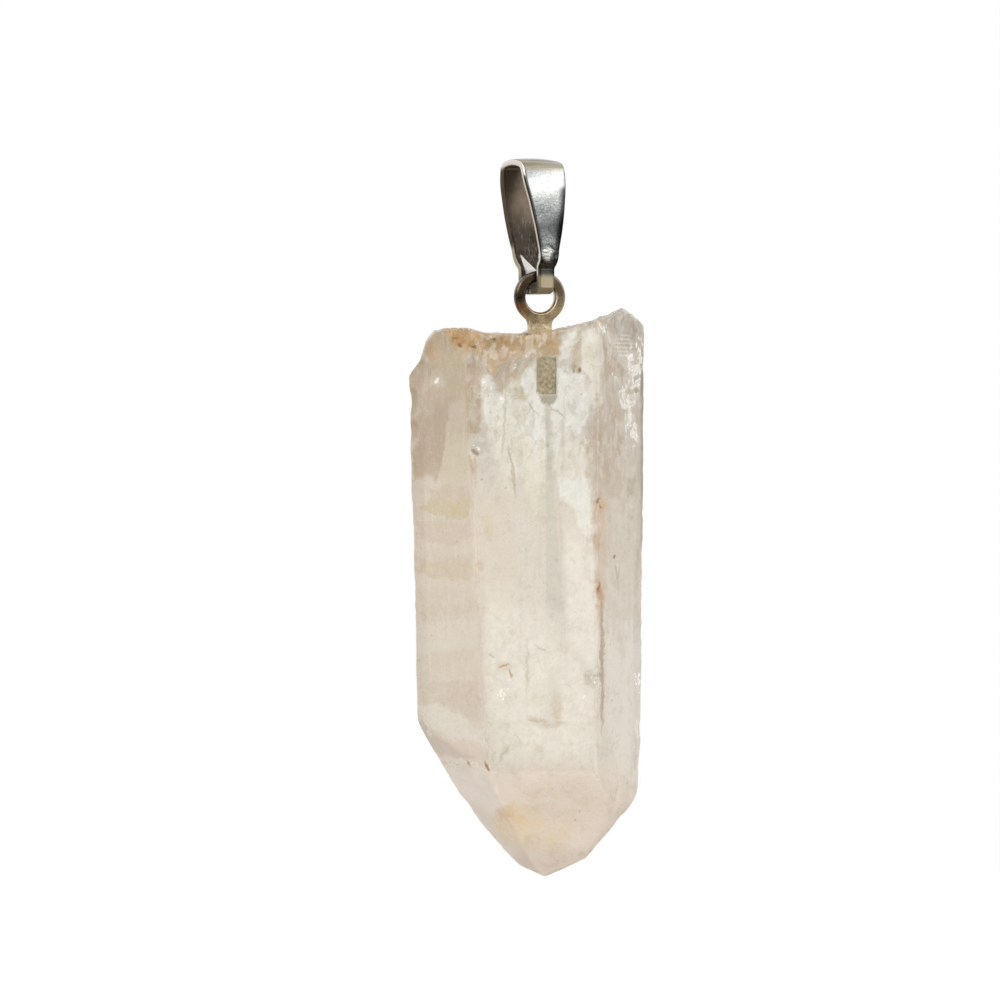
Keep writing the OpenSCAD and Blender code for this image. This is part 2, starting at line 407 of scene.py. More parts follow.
def crystal_planes():
    """The outward normal and the distance from the seat of every wall and tip face."""
    normals, offsets = [], []
    corners = np.array(SECTION) * (WIDTH, DEPTH)
    for i, lean in enumerate(WALL_LEAN):
        a, b = corners[i], corners[(i + 1) % len(corners)]
        along = (b - a) / np.linalg.norm(b - a)
        tilt = math.radians(lean)
        n = np.array([along[1] * math.cos(tilt), -along[0] * math.cos(tilt), -math.sin(tilt)])
        normals.append(n)
        offsets.append(n @ (a[0], a[1], SECTION_AT * LENGTH))
    for azimuth, slope, x, y, z in TIP_FACES:
        a, tilt = math.radians(azimuth), math.atan(slope)
        n = np.array([math.sin(tilt) * math.cos(a), math.sin(tilt) * math.sin(a), -math.cos(tilt)])
        normals.append(n)
        offsets.append(n @ (x * WIDTH, y * DEPTH, z * LENGTH))
    return np.array(normals), np.array(offsets)


PLANES = crystal_planes()


def smooth_max(values, k):
    """The greatest value along the last axis, rounded off over k."""
    top = values.max(-1)
    return top + k * np.log(np.exp((values - top[..., None]) / np.reshape(k, (-1, 1))).sum(-1))


def top_height(p):
    """The height of the broken top above the seat at each point."""
    xs, zs = np.array(BROKEN_TOP).T
    fall = math.tan(math.radians(TOP_FALL))
    return np.interp(p[:, 0], xs * WIDTH, zs * LENGTH) + fall * p[:, 1]


def front_y(x, z):
    """The Y of the crystal's front at X and Z, all from the seat."""
    n, d = PLANES
    faces = n[:, 1] < -0.2
    return ((d - n[:, 0] * x - n[:, 2] * z)[faces] / n[faces, 1]).max()


# Chips and scoops broken out of the crystal: pixel, radius and depth in mm, and 1 for a shell-like break
SCOOPS = [
    (418, 372, 1.7, 0.50, 1), (412, 402, 1.2, 0.42, 0), (436, 345, 1.6, 0.35, 1), (414, 432, 0.9, 0.30, 0),
    (462, 345, 1.5, 0.45, 0), (488, 352, 1.3, 0.38, 1), (510, 345, 1.2, 0.30, 0), (476, 372, 1.1, 0.25, 0),
    (628, 345, 1.9, 0.40, 1), (634, 385, 1.3, 0.28, 1), (612, 330, 1.2, 0.30, 0), (586, 332, 1.0, 0.20, 0),
    (560, 340, 0.8, 0.18, 0), (480, 452, 0.7, 0.16, 0), (641, 728, 0.8, 0.16, 0), (603, 470, 0.6, 0.12, 0),
    (599, 520, 0.5, 0.12, 0), (598, 596, 0.6, 0.14, 0), (487, 760, 0.8, 0.14, 0), (424, 728, 0.8, 0.18, 0),
    (449, 770, 0.6, 0.12, 0), (641, 800, 0.6, 0.14, 0), (472, 505, 0.5, 0.10, 0), (478, 610, 0.4, 0.08, 0),
    (448, 331, 0.6, 0.18, 0), (470, 334, 0.5, 0.16, 0), (497, 338, 0.6, 0.16, 0), (572, 330, 0.7, 0.16, 0),
    (598, 322, 0.8, 0.20, 0), (618, 314, 0.6, 0.16, 0), (640, 322, 0.7, 0.22, 0), (646, 350, 0.5, 0.14, 0),
    (634, 366, 0.9, 0.14, 1), (628, 400, 0.7, 0.12, 1), (437, 382, 0.5, 0.10, 0), (516, 372, 0.7, 0.12, 0),
]


def scoop_balls():
    """The balls that the scoops are cut with: centre and radius, the scoop's place, and its rings."""
    n, d = PLANES
    balls = []
    for px, py, radius, depth, rings in SCOOPS:
        x, z = photo(px, py)
        x, z = x - SEAT[0], z - SEAT[2]
        x = min(max(x, -0.55 * WIDTH), 0.447 * WIDTH)
        at = np.array([x, front_y(x, z), z])
        face = n[np.argmax(n @ at - d)]
        ball_r = (radius ** 2 + depth ** 2) / (2 * depth)
        balls.append((at + face * (ball_r - depth), ball_r, at, rings))
    return balls


def crystal_field(p, edge, inflate, balls):
    """Above 0 outside the crystal, with its edges rounded off over edge mm at each point."""
    n, d = PLANES
    walls = p @ n.T - d
    top = p[:, 2] - top_height(p)
    near = np.hypot(p[:, 0], p[:, 1])
    shape = smooth_max(np.concatenate([walls, top[:, None]], -1), edge) - inflate
    for centre, r, at, rings in balls:
        away = np.linalg.norm(p - centre, axis=1)
        ripple = 0.018 * rings * np.sin(np.linalg.norm(p - at, axis=1) * 9)
        shape = smooth_max(np.stack([shape, r - away + ripple], -1), 0.03)
    ground = np.where(near < SEAT_FLAT_R, p[:, 2], -9.0)
    shape = np.maximum(shape, ground)
    bore = np.where(p[:, 2] > -BORE_L, BORE_R - near, BORE_R - np.linalg.norm(p + [0, 0, BORE_L], axis=1))
    return np.maximum(shape, bore)


VOXEL, QUICK_VOXEL = 0.17, 0.3
# How often the vertices are moved onto the worn form, the share of the way and the most in mm each time,
# and the step that the form's slope is measured over
ROUNDS, SHARE_MOVED, MOST_MOVED, SLOPE_STEP = 4, 0.9, 0.225, 0.01


def make_crystal():
    """The crystal with its worn edges, growth steps, broken top and scoops."""
    mesh, co = remeshed("crystal_point", VOXEL)
    p = co - SEAT
    balls = scoop_balls()
    near = np.hypot(p[:, 0], p[:, 1])
    in_bore = (near < BORE_R + 0.25) & (p[:, 2] < -0.1) & (p[:, 2] > -BORE_L - BORE_R - 0.3)
    on_top = np.clip((p[:, 2] - top_height(p) + 1.0) / 0.8, 0, 1)
    worn = noise_at(p, 2.2, 3, 5.0)
    round_tip = np.clip((-31.5 - p[:, 2]) / 1.5, 0, 1) * np.clip((p[:, 2] + 40.5) / 3, 0, 1)
    edge = 0.05 + 0.10 * np.clip(worn + 0.2, 0, 1) + 0.03 * on_top + 0.16 * round_tip
    steps = noise_at(p * (0.25, 0.25, 1.0), 0.55, 3, 11.0)
    streaks = noise_at(p * (1.0, 1.0, 0.08), 0.6, 2, 21.0)
    rough = noise_at(p, 1.3, 4, 31.0)
    ridges = 0.5 - np.abs(noise_at(p, 0.8, 3, 33.0))
    broken = np.clip((p[:, 2] + 4.5) / 4.5, 0, 1) ** 1.5
    inflate = 0.014 * steps + 0.012 * streaks + (0.05 * broken + 0.08 * on_top) * rough
    inflate += 0.10 * on_top * ridges
    over_peg = (np.abs(p[:, 0]) < 1.1) & (p[:, 2] < -1.2) & (p[:, 2] > -6.2) & (p[:, 1] < 0)
    inflate[over_peg] *= 0.1
    inflate[in_bore] = 0
    for _ in range(ROUNDS):
        f = crystal_field(p, edge, inflate, balls)
        grad = np.stack([
            crystal_field(p + way, edge, inflate, balls) - crystal_field(p - way, edge, inflate, balls)
            for way in np.eye(3) * SLOPE_STEP
        ], -1) / (2 * SLOPE_STEP)
        size = np.linalg.norm(grad, axis=1, keepdims=True)
        step = f[:, None] * grad / np.maximum(size, 0.3) ** 2
        long = np.linalg.norm(step, axis=1, keepdims=True)
        p = p - step * np.minimum(SHARE_MOVED, MOST_MOVED / np.maximum(long, 1e-9))
    set_points(mesh, p + SEAT)
    mesh.name = "quartz_point"
    paint_marks(mesh, p + SEAT)
    return mesh


# What shows on and under the crystal's front. A tint only colours, a vein too but with a steadier edge, a
# cloud is milky, a stain is dull, snow is white broken quartz and a window is clear.
# Patches, painted from first to last: breadth in pixels over which the edge fades (across and down where
# they differ), how much fine noise breaks it up, colour, strength and outline in the photograph's pixels
PATCHES = [
    ("tint", [
        (8, 0.1, (197, 178, 152), 0.95, [(437, 325), (470, 325), (484, 400), (468, 440), (408, 440),
         (405, 372)]),
        (6, 0.2, (186, 164, 134), 0.85, [(437, 328), (448, 328), (458, 346), (452, 362), (432, 372),
         (420, 366)]),
        (5, 0.2, (204, 186, 164), 0.9, [(462, 350), (480, 352), (488, 364), (491, 380), (483, 384),
         (477, 366), (466, 364)]),
        (4, 0.3, (200, 184, 158), 0.9, [(506, 350), (537, 352), (537, 360), (528, 370), (519, 385),
         (510, 385), (508, 368)]),
        (8, 0.1, (190, 177, 144), 0.85, [(446, 352), (463, 352), (467, 372), (466, 390), (448, 392),
         (443, 376)]),
        (6, 0.2, (198, 168, 130), 0.8, [(428, 346), (440, 344), (442, 358), (430, 364)]),
        (4, 0.1, (200, 170, 144), 0.9, [(467, 366), (478, 366), (482, 380), (481, 390), (467, 391)]),
        (3, 0.2, (193, 173, 142), 0.9, [(467, 388), (481, 386), (482, 408), (480, 434), (466, 436),
         (466, 410)]),
        (4, 0.1, (208, 193, 172), 0.8, [(450, 407), (467, 398), (467, 440), (446, 440)]),
        ((3, 24), 0.1, (187, 166, 139), 0.95, [(437, 400), (455, 401), (449, 410), (447, 430), (443, 465),
         (437, 480), (427, 474), (415, 480), (412, 455), (418, 440), (428, 415)]),
        (8, 0.1, (196, 168, 148), 0.6, [(420, 432), (436, 428), (436, 450), (420, 456)]),
        (5, 0.1, (212, 198, 173), 0.8, [(448, 432), (467, 434), (470, 447), (468, 475), (466, 492),
         (441, 490), (443, 462)]),
        (4, 0.3, (205, 188, 163), 0.8, [(430, 488), (468, 486), (469, 499), (440, 501), (426, 505)]),
        (3, 0.3, (204, 187, 152), 0.85, [(418, 506), (440, 501), (469, 499), (470, 512), (467, 519),
         (440, 518), (424, 512)]),
        (4, 0.2, (209, 191, 173), 0.8, [(412, 521), (450, 520), (471, 524), (470, 540), (448, 545),
         (425, 543)]),
        (4, 0.3, (206, 190, 164), 0.8, [(418, 561), (468, 558), (474, 566), (472, 580), (430, 578),
         (412, 572)]),
        (4, 0.4, (209, 194, 172), 0.7, [(420, 604), (470, 602), (474, 612), (440, 618), (420, 614)]),
        (5, 0.1, (220, 210, 194), 0.7, [(414, 622), (476, 618), (480, 646), (440, 652), (416, 656)]),
        (3, 0.1, (209, 193, 176), 0.85, [(428, 681), (478, 679), (483, 720), (466, 716), (440, 703),
         (426, 690)]),
        (5, 0.1, (221, 213, 200), 0.85, [(417, 706), (438, 704), (466, 718), (484, 730), (486, 742),
         (450, 736), (424, 730)]),
        (4, 0.1, (214, 196, 180), 0.8, [(428, 737), (452, 739), (485, 745), (488, 762), (464, 756),
         (436, 756)]),
        (10, 0.1, (213, 202, 188), 0.8, [(603, 312), (650, 312), (650, 560), (594, 560), (592, 440),
         (604, 400)]),
        (6, 0.1, (200, 191, 179), 0.9, [(603, 316), (625, 304), (650, 322), (650, 350), (616, 346),
         (610, 330)]),
        (4, 0.3, (206, 191, 172), 0.9, [(601, 334), (612, 345), (618, 360), (612, 380), (618, 400),
         (622, 440), (626, 470), (620, 498), (594, 500), (589, 478), (592, 455), (587, 440), (588, 425),
         (598, 413), (603, 400), (599, 385), (603, 365)]),
        (5, 0.4, (201, 172, 149), 0.7, [(602, 338), (607, 338), (608, 350), (603, 352)]),
        (5, 0.4, (205, 172, 148), 0.7, [(609, 360), (616, 358), (617, 370), (610, 374)]),
        (3, 0.2, (188, 174, 156), 0.85, [(614, 362), (622, 364), (624, 374), (616, 377)]),
        (8, 0.3, (217, 207, 193), 0.8, [(594, 500), (640, 500), (640, 620), (606, 620), (600, 560)]),
        (4, 0.3, (215, 192, 170), 0.85, [(592, 500), (605, 500), (606, 530), (603, 620), (596, 620),
         (594, 540)]),
        (3, 0.3, (186, 180, 160), 0.85, [(626, 480), (636, 479), (634, 496), (627, 496)]),
        (4, 0.3, (190, 182, 166), 0.7, [(628, 505), (634, 508), (636, 522), (630, 520)]),
        (12, 0.1, (232, 225, 215), 0.85, [(606, 640), (650, 640), (650, 800), (616, 770), (604, 720)]),
        ((12, 40), 0.2, (230, 217, 199), 0.7, [(474, 480), (516, 480), (520, 560), (510, 620), (478, 620),
         (472, 540)]),
        (6, 0.3, (227, 211, 177), 0.7, [(482, 514), (492, 514), (494, 534), (484, 534)]),
        (10, 0.1, (225, 220, 198), 0.7, [(518, 440), (545, 440), (545, 520), (524, 520)]),
    ]),
    ("cloud", [
        ((3, 50), 0.1, (226, 222, 206), 0.8, [(486, 400), (545, 400), (546, 470), (536, 500), (520, 470),
         (510, 490), (496, 460), (488, 440)]),
        ((2, 9), 0.3, (227, 226, 218), 0.95, [(481, 384), (488, 377), (494, 381), (498, 389), (501, 396),
         (505, 398), (506, 432), (500, 446), (496, 430), (492, 440), (486, 424), (480, 418), (484, 408),
         (480, 396)]),
        ((2, 9), 0.2, (227, 227, 220), 0.95, [(520, 386), (528, 370), (537, 365), (538, 395), (544, 405),
         (545, 452), (540, 436), (534, 456), (528, 434), (519, 440), (518, 402), (527, 400)]),
        ((3, 12), 0.2, (218, 215, 201), 0.8, [(505, 400), (519, 398), (520, 448), (513, 460), (507, 444)]),
        (2, 0.15, (226, 226, 219), 0.95, [(556, 372), (563, 367), (572, 372), (583, 378), (586, 395),
         (589, 405), (586, 420), (578, 433), (561, 438), (552, 434), (550, 408), (556, 396)]),
        (3, 0.1, (226, 222, 212), 0.9, [(562, 333), (575, 331), (577, 341), (573, 351), (565, 360),
         (559, 362), (559, 346)]),
        (3, 0.1, (226, 220, 206), 0.9, [(579, 334), (593, 330), (601, 340), (603, 360), (600, 384),
         (588, 382), (580, 372)]),
        (3, 0.2, (232, 225, 215), 0.8, [(576, 378), (590, 382), (600, 384), (603, 404), (594, 411),
         (586, 400)]),
        (4, 0.2, (225, 218, 206), 0.8, [(550, 436), (578, 436), (582, 452), (588, 470), (586, 480),
         (555, 480)]),
        ((2, 6), 0.2, (227, 227, 219), 0.9, [(556, 478), (585, 478), (589, 496), (591, 516), (590, 545),
         (578, 524), (572, 506), (560, 500)]),
        ((8, 40), 0.2, (229, 224, 214), 0.7, [(564, 530), (592, 530), (597, 620), (594, 680), (566, 640)]),
        (2, 0.3, (233, 230, 217), 0.8, [(575, 447), (585, 446), (586, 456), (577, 458)]),
        ((14, 60), 0.3, (231, 226, 214), 0.6, [(488, 590), (540, 610), (560, 640), (590, 650), (596, 760),
         (500, 752), (486, 680)]),
    ]),
    ("vein", [
        (1.5, 0.0, (211, 207, 192), 0.6, [(545.8, 405), (546.8, 405), (549, 440), (555, 500), (560, 560),
         (562, 612), (546, 606), (545, 500), (544.5, 440)]),
        (4, 0.2, (210, 209, 200), 0.45, [(545, 560), (562, 556), (564, 612), (556, 624), (544, 612)]),
        (2, 0.1, (201, 197, 182), 0.6, [(560, 404), (562, 404), (564, 470), (563, 500), (561.5, 470)]),
        (3, 0.1, (227, 227, 219), 0.7, [(552, 436), (560, 438), (561, 462), (553, 458)]),
    ]),
    ("tint", [
        (3, 0.2, (196, 178, 156), 0.9, [(487, 362), (513, 358), (511, 372), (507, 386), (503, 399),
         (498, 394), (493, 383), (489, 375)]),
    ]),
    ("stain", [
        (2, 0.3, (183, 179, 152), 0.9, [(512, 386), (519, 379), (524, 389), (529, 400), (520, 398),
         (515, 396)]),
        (3, 0.2, (210, 203, 186), 0.6, [(505, 384), (512, 382), (513, 398), (505, 398)]),
        (7, 0.35, (188, 162, 130), 0.9, [(476, 340), (506, 346), (530, 348), (531, 357), (514, 360),
         (501, 367), (494, 378), (487, 370), (479, 356)]),
        ((6, 12), 0.25, (174, 144, 102), 0.97, [(474, 328), (534, 330), (534, 352), (520, 352), (508, 358),
         (494, 354), (480, 350)]),
        ((7, 10), 0.5, (204, 166, 110), 0.97, [(446, 326), (466, 324), (480, 330), (487, 343), (480, 353),
         (466, 353), (454, 347), (448, 338)]),
        ((4, 9), 0.3, (184, 158, 122), 0.97, [(524, 330), (557, 328), (560, 340), (558, 353), (551, 359),
         (538, 359), (529, 353)]),
        (3, 0.2, (187, 172, 152), 0.8, [(575, 331), (579, 333), (580, 344), (574, 356), (570, 362),
         (571, 352), (577, 342)]),
        (3, 0.2, (190, 176, 146), 0.8, [(574, 354), (580, 358), (578, 373), (571, 374), (569, 368)]),
        (4, 0.4, (184, 168, 144), 0.8, [(556, 324), (606, 314), (606, 328), (590, 331), (575, 331),
         (558, 333)]),
        (3, 0.2, (190, 174, 152), 0.85, [(469, 457), (478, 455), (478, 470), (475, 488), (473, 478),
         (470, 468)]),
        (3, 0.4, (194, 182, 160), 0.75, [(567, 430), (578, 436), (590, 446), (592, 458), (588, 480),
         (584, 478), (587, 458), (585, 448), (574, 442)]),
    ]),
    ("window", [
        (1.5, 0.0, (222, 219, 204), 0.95, [(536.5, 356), (556.5, 356), (557, 394), (556.5, 396), (556, 400),
         (553.5, 404), (548, 406.5), (542.5, 404), (540, 400), (539.5, 396), (536.5, 394)]),
    ]),
    ("stain", [
        ((2, 6), 0.5, (186, 165, 132), 0.85, [(535, 349), (558, 349), (558, 357), (552, 362), (547, 358),
         (541, 362), (535, 357)]),
    ]),
    ("window", [
        (4, 0.0, (206, 202, 194), 0.7, [(641, 350), (650, 350), (650, 720), (642, 720)]),
    ]),
]

# Ovals: middle, half width, half height, turn clockwise in degrees, share of the radius that fades,
# how much fine noise breaks it up, colour and strength
OVALS = {
    "tint": [
        (560, 800, 46, 26, 0, 1.0, 0.2, (222, 204, 186), 0.7),
        (544, 856, 30, 18, 0, 1.0, 0.1, (222, 204, 189), 0.8),
        (512, 824, 24, 20, -15, 1.1, 0.4, (230, 204, 164), 0.8),
        (545, 836, 36, 14, -4, 1.1, 0.4, (229, 210, 180), 0.7),
        (505, 812, 9, 8, 0, 1.0, 0.6, (216, 176, 128), 0.6),
        (500, 740, 20, 40, 0, 1.2, 0.2, (222, 216, 200), 0.5),
        (553, 700, 8, 30, 0, 0.9, 0.4, (212, 205, 188), 0.6),
        # A painted highlight: the pale halo round the glint on the left shoulder
        (437, 381, 9, 7, 0, 1.0, 0.5, (214, 203, 188), 0.8),
    ],
    "stain": [
        (464, 340, 14, 9, 0, 0.9, 0.6, (196, 152, 90), 0.8),
        (462, 345, 4, 2.5, 0, 0.7, 0.9, (160, 110, 58), 0.7),
        (474, 347, 4, 2.5, 0, 0.7, 0.9, (140, 92, 46), 0.85),
        (455, 339, 5, 2.5, 0, 0.7, 0.9, (174, 116, 60), 0.8),
        (497, 341, 5, 3, 0, 0.7, 0.8, (166, 130, 84), 0.8),
        (575, 370, 4, 4.5, 0, 0.6, 0.4, (140, 122, 84), 0.85),
        (599, 504, 7, 8, 0, 1.1, 0.7, (200, 160, 120), 0.75),
        (598, 541, 4, 7, 0, 0.9, 0.9, (184, 150, 118), 0.7),
        (597, 592, 4.5, 13, 0, 0.9, 0.8, (192, 148, 114), 0.8),
        (601, 665, 2, 62, -0.5, 0.8, 0.2, (186, 168, 142), 0.8),
        (505, 665, 7, 5, -10, 1.0, 0.7, (204, 172, 134), 0.6),
        (480, 566, 3, 3, 0, 0.8, 0.6, (190, 150, 116), 0.6),
        (592, 674, 8, 12, 20, 0.8, 0.95, (156, 140, 118), 0.6),
        (556, 703, 5, 17, 0, 1.1, 0.6, (208, 186, 156), 0.45),
        (538, 718, 11, 3.4, 10, 1.0, 0.8, (196, 174, 142), 0.45),
        (504, 752, 2.5, 9, 25, 1.0, 0.7, (186, 174, 150), 0.45),
        (550, 722, 17, 2.6, 3, 0.8, 0.6, (196, 182, 154), 0.5),
    ],
    "snow": [
        (635, 366, 8, 28, 0, 0.6, 0.8, (243, 241, 237), 1.0),
        (627, 398, 9, 14, 0, 0.6, 0.8, (243, 241, 236), 0.9),
        (630, 428, 7, 20, -6, 0.6, 0.8, (242, 240, 234), 0.9),
        (640, 350, 4, 14, 0, 0.7, 0.8, (236, 232, 226), 0.8),
        (612, 380, 4, 8, 0, 0.7, 0.8, (238, 232, 222), 0.7),
        (600, 330, 8, 6, -24, 0.7, 0.8, (234, 230, 216), 0.8),
        (489, 389, 9, 8, 0, 0.7, 0.8, (232, 230, 222), 0.6),
        (502, 402, 4, 8, -10, 0.7, 0.8, (234, 232, 224), 0.6),
        (522, 362, 3, 13, 42, 0.7, 0.8, (230, 224, 210), 0.8),
        (475, 450, 8, 6, 0, 0.7, 0.8, (232, 226, 206), 0.5),
        # A painted glint: the thin white streak near the tip
        (515, 833, 12, 2.5, 6, 0.8, 0.9, (238, 226, 204), 0.45),
        (637, 680, 5, 16, 0, 0.8, 0.9, (238, 232, 224), 0.5),
        (590, 695, 12, 20, 20, 0.8, 0.9, (238, 232, 220), 0.35),
        (503, 690, 7, 10, 0, 0.8, 0.9, (236, 226, 214), 0.5),
    ],
}


def oval_mask(u, v, mark):
    """How strongly an oval shows at each pixel u, v of the photograph."""
    px, py, rx, ry, turn, soft = mark
    a = math.radians(turn)
    du, dv = u - px, v - py
    along = (du * math.cos(a) + dv * math.sin(a)) / rx
    down = (dv * math.cos(a) - du * math.sin(a)) / ry
    fade = np.clip((1 + soft / 2 - np.hypot(along, down)) / soft, 0, 1)
    return fade * fade * (3 - 2 * fade)


def patch_mask(u, v, patch):
    """How strongly a patch shows at each pixel u, v of the photograph. patch is the breadth over which its
    edge fades, or one across and one down, and its outline."""
    soft, outline = patch
    soft, down = soft if isinstance(soft, tuple) else (soft, soft)
    v = v * soft / down
    outline = [(x, y * soft / down) for x, y in outline]
    nearest = np.full(len(u), 1e9)
    inside = np.zeros(len(u), bool)
    for i, (bx, by) in enumerate(outline):
        ax, ay = outline[i - 1]
        ex, ey = bx - ax, by - ay
        along = np.clip(((u - ax) * ex + (v - ay) * ey) / (ex * ex + ey * ey), 0, 1)
        nearest = np.minimum(nearest, np.hypot(u - ax - along * ex, v - ay - along * ey))
        if ey:
            inside ^= ((ay > v) != (by > v)) & (u < ax + ex * (v - ay) / ey)
    fade = np.clip(0.5 + np.where(inside, nearest, -nearest) / soft, 0, 1)
    return fade * fade * (3 - 2 * fade)


# How far the noise shifts each kind of mark's edge, as a share
WANDER = {"tint": 1.0, "cloud": 0.8, "stain": 0.8, "snow": 0.8, "vein": 0.25, "window": 0.05}


def paint_marks(mesh, co):
    """Keeps the marks' colours and kinds on the mesh: mark_paint holds colour and coverage,
    mark_kind how dull, snowy, clear and milky the quartz is."""
    count = len(co)
    normals = np.empty(count * 3)
    mesh.vertex_normals.foreach_get("vector", normals)
    facing = np.clip((0.05 - normals.reshape(-1, 3)[:, 1]) / 0.25, 0, 1)
    u = HOLE_PX[0] + (co[:, 0] - HOLE[0]) * PX_PER_MM
    v = HOLE_PX[1] - (co[:, 2] - HOLE[2]) * PX_PER_MM
    grit = noise_at(co, 0.55, 4, 71.0)
    du = 2.4 * noise_at(co, 1.4, 3, 41.0) + 1.8 * noise_at(co, 0.45, 2, 43.0)
    dv = 3.0 * noise_at(co, 1.6, 3, 51.0) + 1.8 * noise_at(co, 0.45, 2, 53.0)
    marks = [(kind, patch_mask, (soft, outline), *rest)
             for kind, group in PATCHES for soft, *rest, outline in group]
    marks += [(kind, oval_mask, row[:6], *row[6:]) for kind, group in OVALS.items() for row in group]
    paint = np.zeros((count, 4))
    kinds = {"stain": 0, "snow": 1, "window": 2, "cloud": 3}
    kind_of = np.zeros((count, 4))
    for kind, mask_of, shape, broken, tone, strength in marks:
        wander = WANDER[kind]
        mask = mask_of(u + wander * du, v + wander * dv, shape) * strength * facing
        mask = mask * (1 - broken * np.clip(0.5 - 2.2 * grit, 0, 1))
        paint *= 1 - mask[:, None]
        paint += mask[:, None] * np.array(rgb(*tone))
        if kind in ("stain", "window"):
            kind_of *= 1 - mask[:, None]
        if kind in kinds:
            inner = np.clip((mask - 0.35) / 0.5, 0, 1) if kind == "stain" else mask
            kind_of[:, kinds[kind]] = np.maximum(kind_of[:, kinds[kind]], inner)
    for name, values in (("mark_paint", paint), ("mark_kind", kind_of)):
        layer = mesh.attributes.new(name, "FLOAT_COLOR", "POINT")
        layer.data.foreach_set("color", values.astype(np.float32).ravel())


# Small marks that the mesh is too coarse for: pixel, half sizes, turn, soft, colour, strength
FINE_MARKS = [
    (504, 425, 1.5, 34, 2, 0.7, (192, 186, 166), 0.7),
    (512, 470, 1.6, 26, -9, 0.7, (184, 174, 150), 0.7),
    (563, 430, 1.4, 36, 0, 0.7, (200, 196, 182), 0.6),
    (476, 452, 4, 2.2, 30, 0.6, (132, 116, 88), 0.7),
    (597.5, 587, 1.5, 5, 6, 0.7, (150, 98, 62), 0.75),
    (597, 500, 1.3, 3.6, 20, 0.6, (132, 98, 66), 0.8),
    (600.5, 506, 1.0, 3, -24, 0.6, (140, 104, 72), 0.7),
    (632, 392, 7, 2.4, -6, 0.6, (176, 170, 150), 0.8),
    (601, 665, 1.5, 62, -0.5, 0.8, (176, 156, 130), 0.75),
    (613, 556, 1.6, 2.4, 0, 0.6, (112, 90, 70), 0.75),
    (616, 572, 1.1, 8, -8, 0.7, (186, 172, 154), 0.7),
    (468.5, 761.5, 1.3, 3.2, -15, 0.7, (158, 118, 78), 0.8),
    (487.5, 764, 1.5, 5, -28, 0.7, (150, 108, 64), 0.85),
    (504, 663, 5, 1.2, -16, 0.7, (182, 144, 104), 0.7),
    (510, 672, 1.1, 5, -26, 0.7, (174, 140, 104), 0.65),
    (492, 654, 3, 1.1, 20, 0.9, (140, 126, 108), 0.4),
    (540, 646, 7, 1.1, 30, 0.9, (170, 154, 132), 0.35),
    (527, 665, 1.5, 26, 0, 0.8, (200, 192, 172), 0.6),
    (538, 718, 9, 1.6, 10, 0.9, (180, 156, 120), 0.4),
    (504, 752, 1.3, 8, 25, 0.9, (168, 156, 130), 0.4),
    (461, 346, 2.6, 1.3, 30, 0.7, (118, 82, 44), 0.8),
    (472, 348.5, 3.2, 1.4, -8, 0.7, (122, 84, 42), 0.85),
    (455, 339, 4, 1.0, 4, 0.7, (150, 98, 50), 0.7),
    (495, 341.5, 2.4, 1.3, 10, 0.7, (112, 88, 54), 0.7),
    (506, 343, 2.6, 1.2, 0, 0.7, (160, 116, 66), 0.6),
    (547, 345.5, 3.4, 0.9, -8, 0.7, (150, 118, 84), 0.6),
    (546.3, 424, 1.5, 20, -2, 0.6, (203, 201, 190), 0.85),
    (578, 372, 2, 2, 0, 0.6, (120, 94, 70), 0.85),
    # A painted glint: the white mark on the left shoulder
    (437, 381, 3.5, 2.2, -30, 0.6, (250, 249, 246), 0.9),
    (533, 410, 1.1, 7, -40, 0.7, (182, 172, 150), 0.6),
    (557, 414, 1.1, 8, -50, 0.7, (170, 158, 138), 0.6),
]
HAIR = 1e-4
# How far the pane over the peg leans to the right, which shifts the peg behind it as in the photograph,
# and the pixel column that only the crystal's other window lies past
PANE_SLANT = 0.30
PANE_END = 600


# The white break combed with fine lines, as an oval: pixel, half sizes, turn and soft
COMBED = (624, 346, 10, 12, 0, 0.4)


def quartz_fields(t):
    """What the quartz's looks are made of: where a point is, straight and shifted by noise, how far it lies
    on each kind of face, and textures."""
    q = SimpleNamespace(p=t.place())
    nx, q.ny, q.nz = t.split(t.node("TexCoord").outputs["Normal"])
    q.x, _, q.z = t.split(q.p)
    rough = t.jitter(q.p, 1.1)
    q.wavy = t.vector("ADD", q.p, t.scaled(rough, 0.8))
    q.left = t.ramp(nx, -0.3, -0.55)
    q.right = t.ramp(nx, 0.3, 0.55)
    q.front = t.ramp(q.ny, 0.05, -0.2)
    q.grit = t.noise(q.p, 3.2, 5, 0.7)
    low = t.ramp(q.z, SEAT_Z - 31, SEAT_Z - 34)
    q.tip = t.mul(low, t.ramp(q.nz, -0.2, -0.45))
    q.upright = t.ramp(q.nz, -0.35, -0.2)
    q.streak = t.lerp(q.upright, 0.5, t.noise(q.p, 2.6, 3, 0.55, stretch=(1, 1, 0.07)))
    q.broad = t.noise(q.p, 0.16, 3, 0.55)
    q.mottle = t.noise(q.wavy, 0.8, 5, 0.62)
    q.ragged = t.vector("ADD", q.p, t.scaled(rough, 0.25))
    q.shard = t.split(t.cells(q.ragged, 2.3, stretch=(1.25, 1.25, 0.62), out="Color"))[0]
    q.flake = t.split(t.cells(q.ragged, 4.6, stretch=(1.1, 1.1, 0.8), out="Color"))[1]
    q.high = t.ramp(q.z, SEAT_Z - 15, SEAT_Z - 7)
    return q


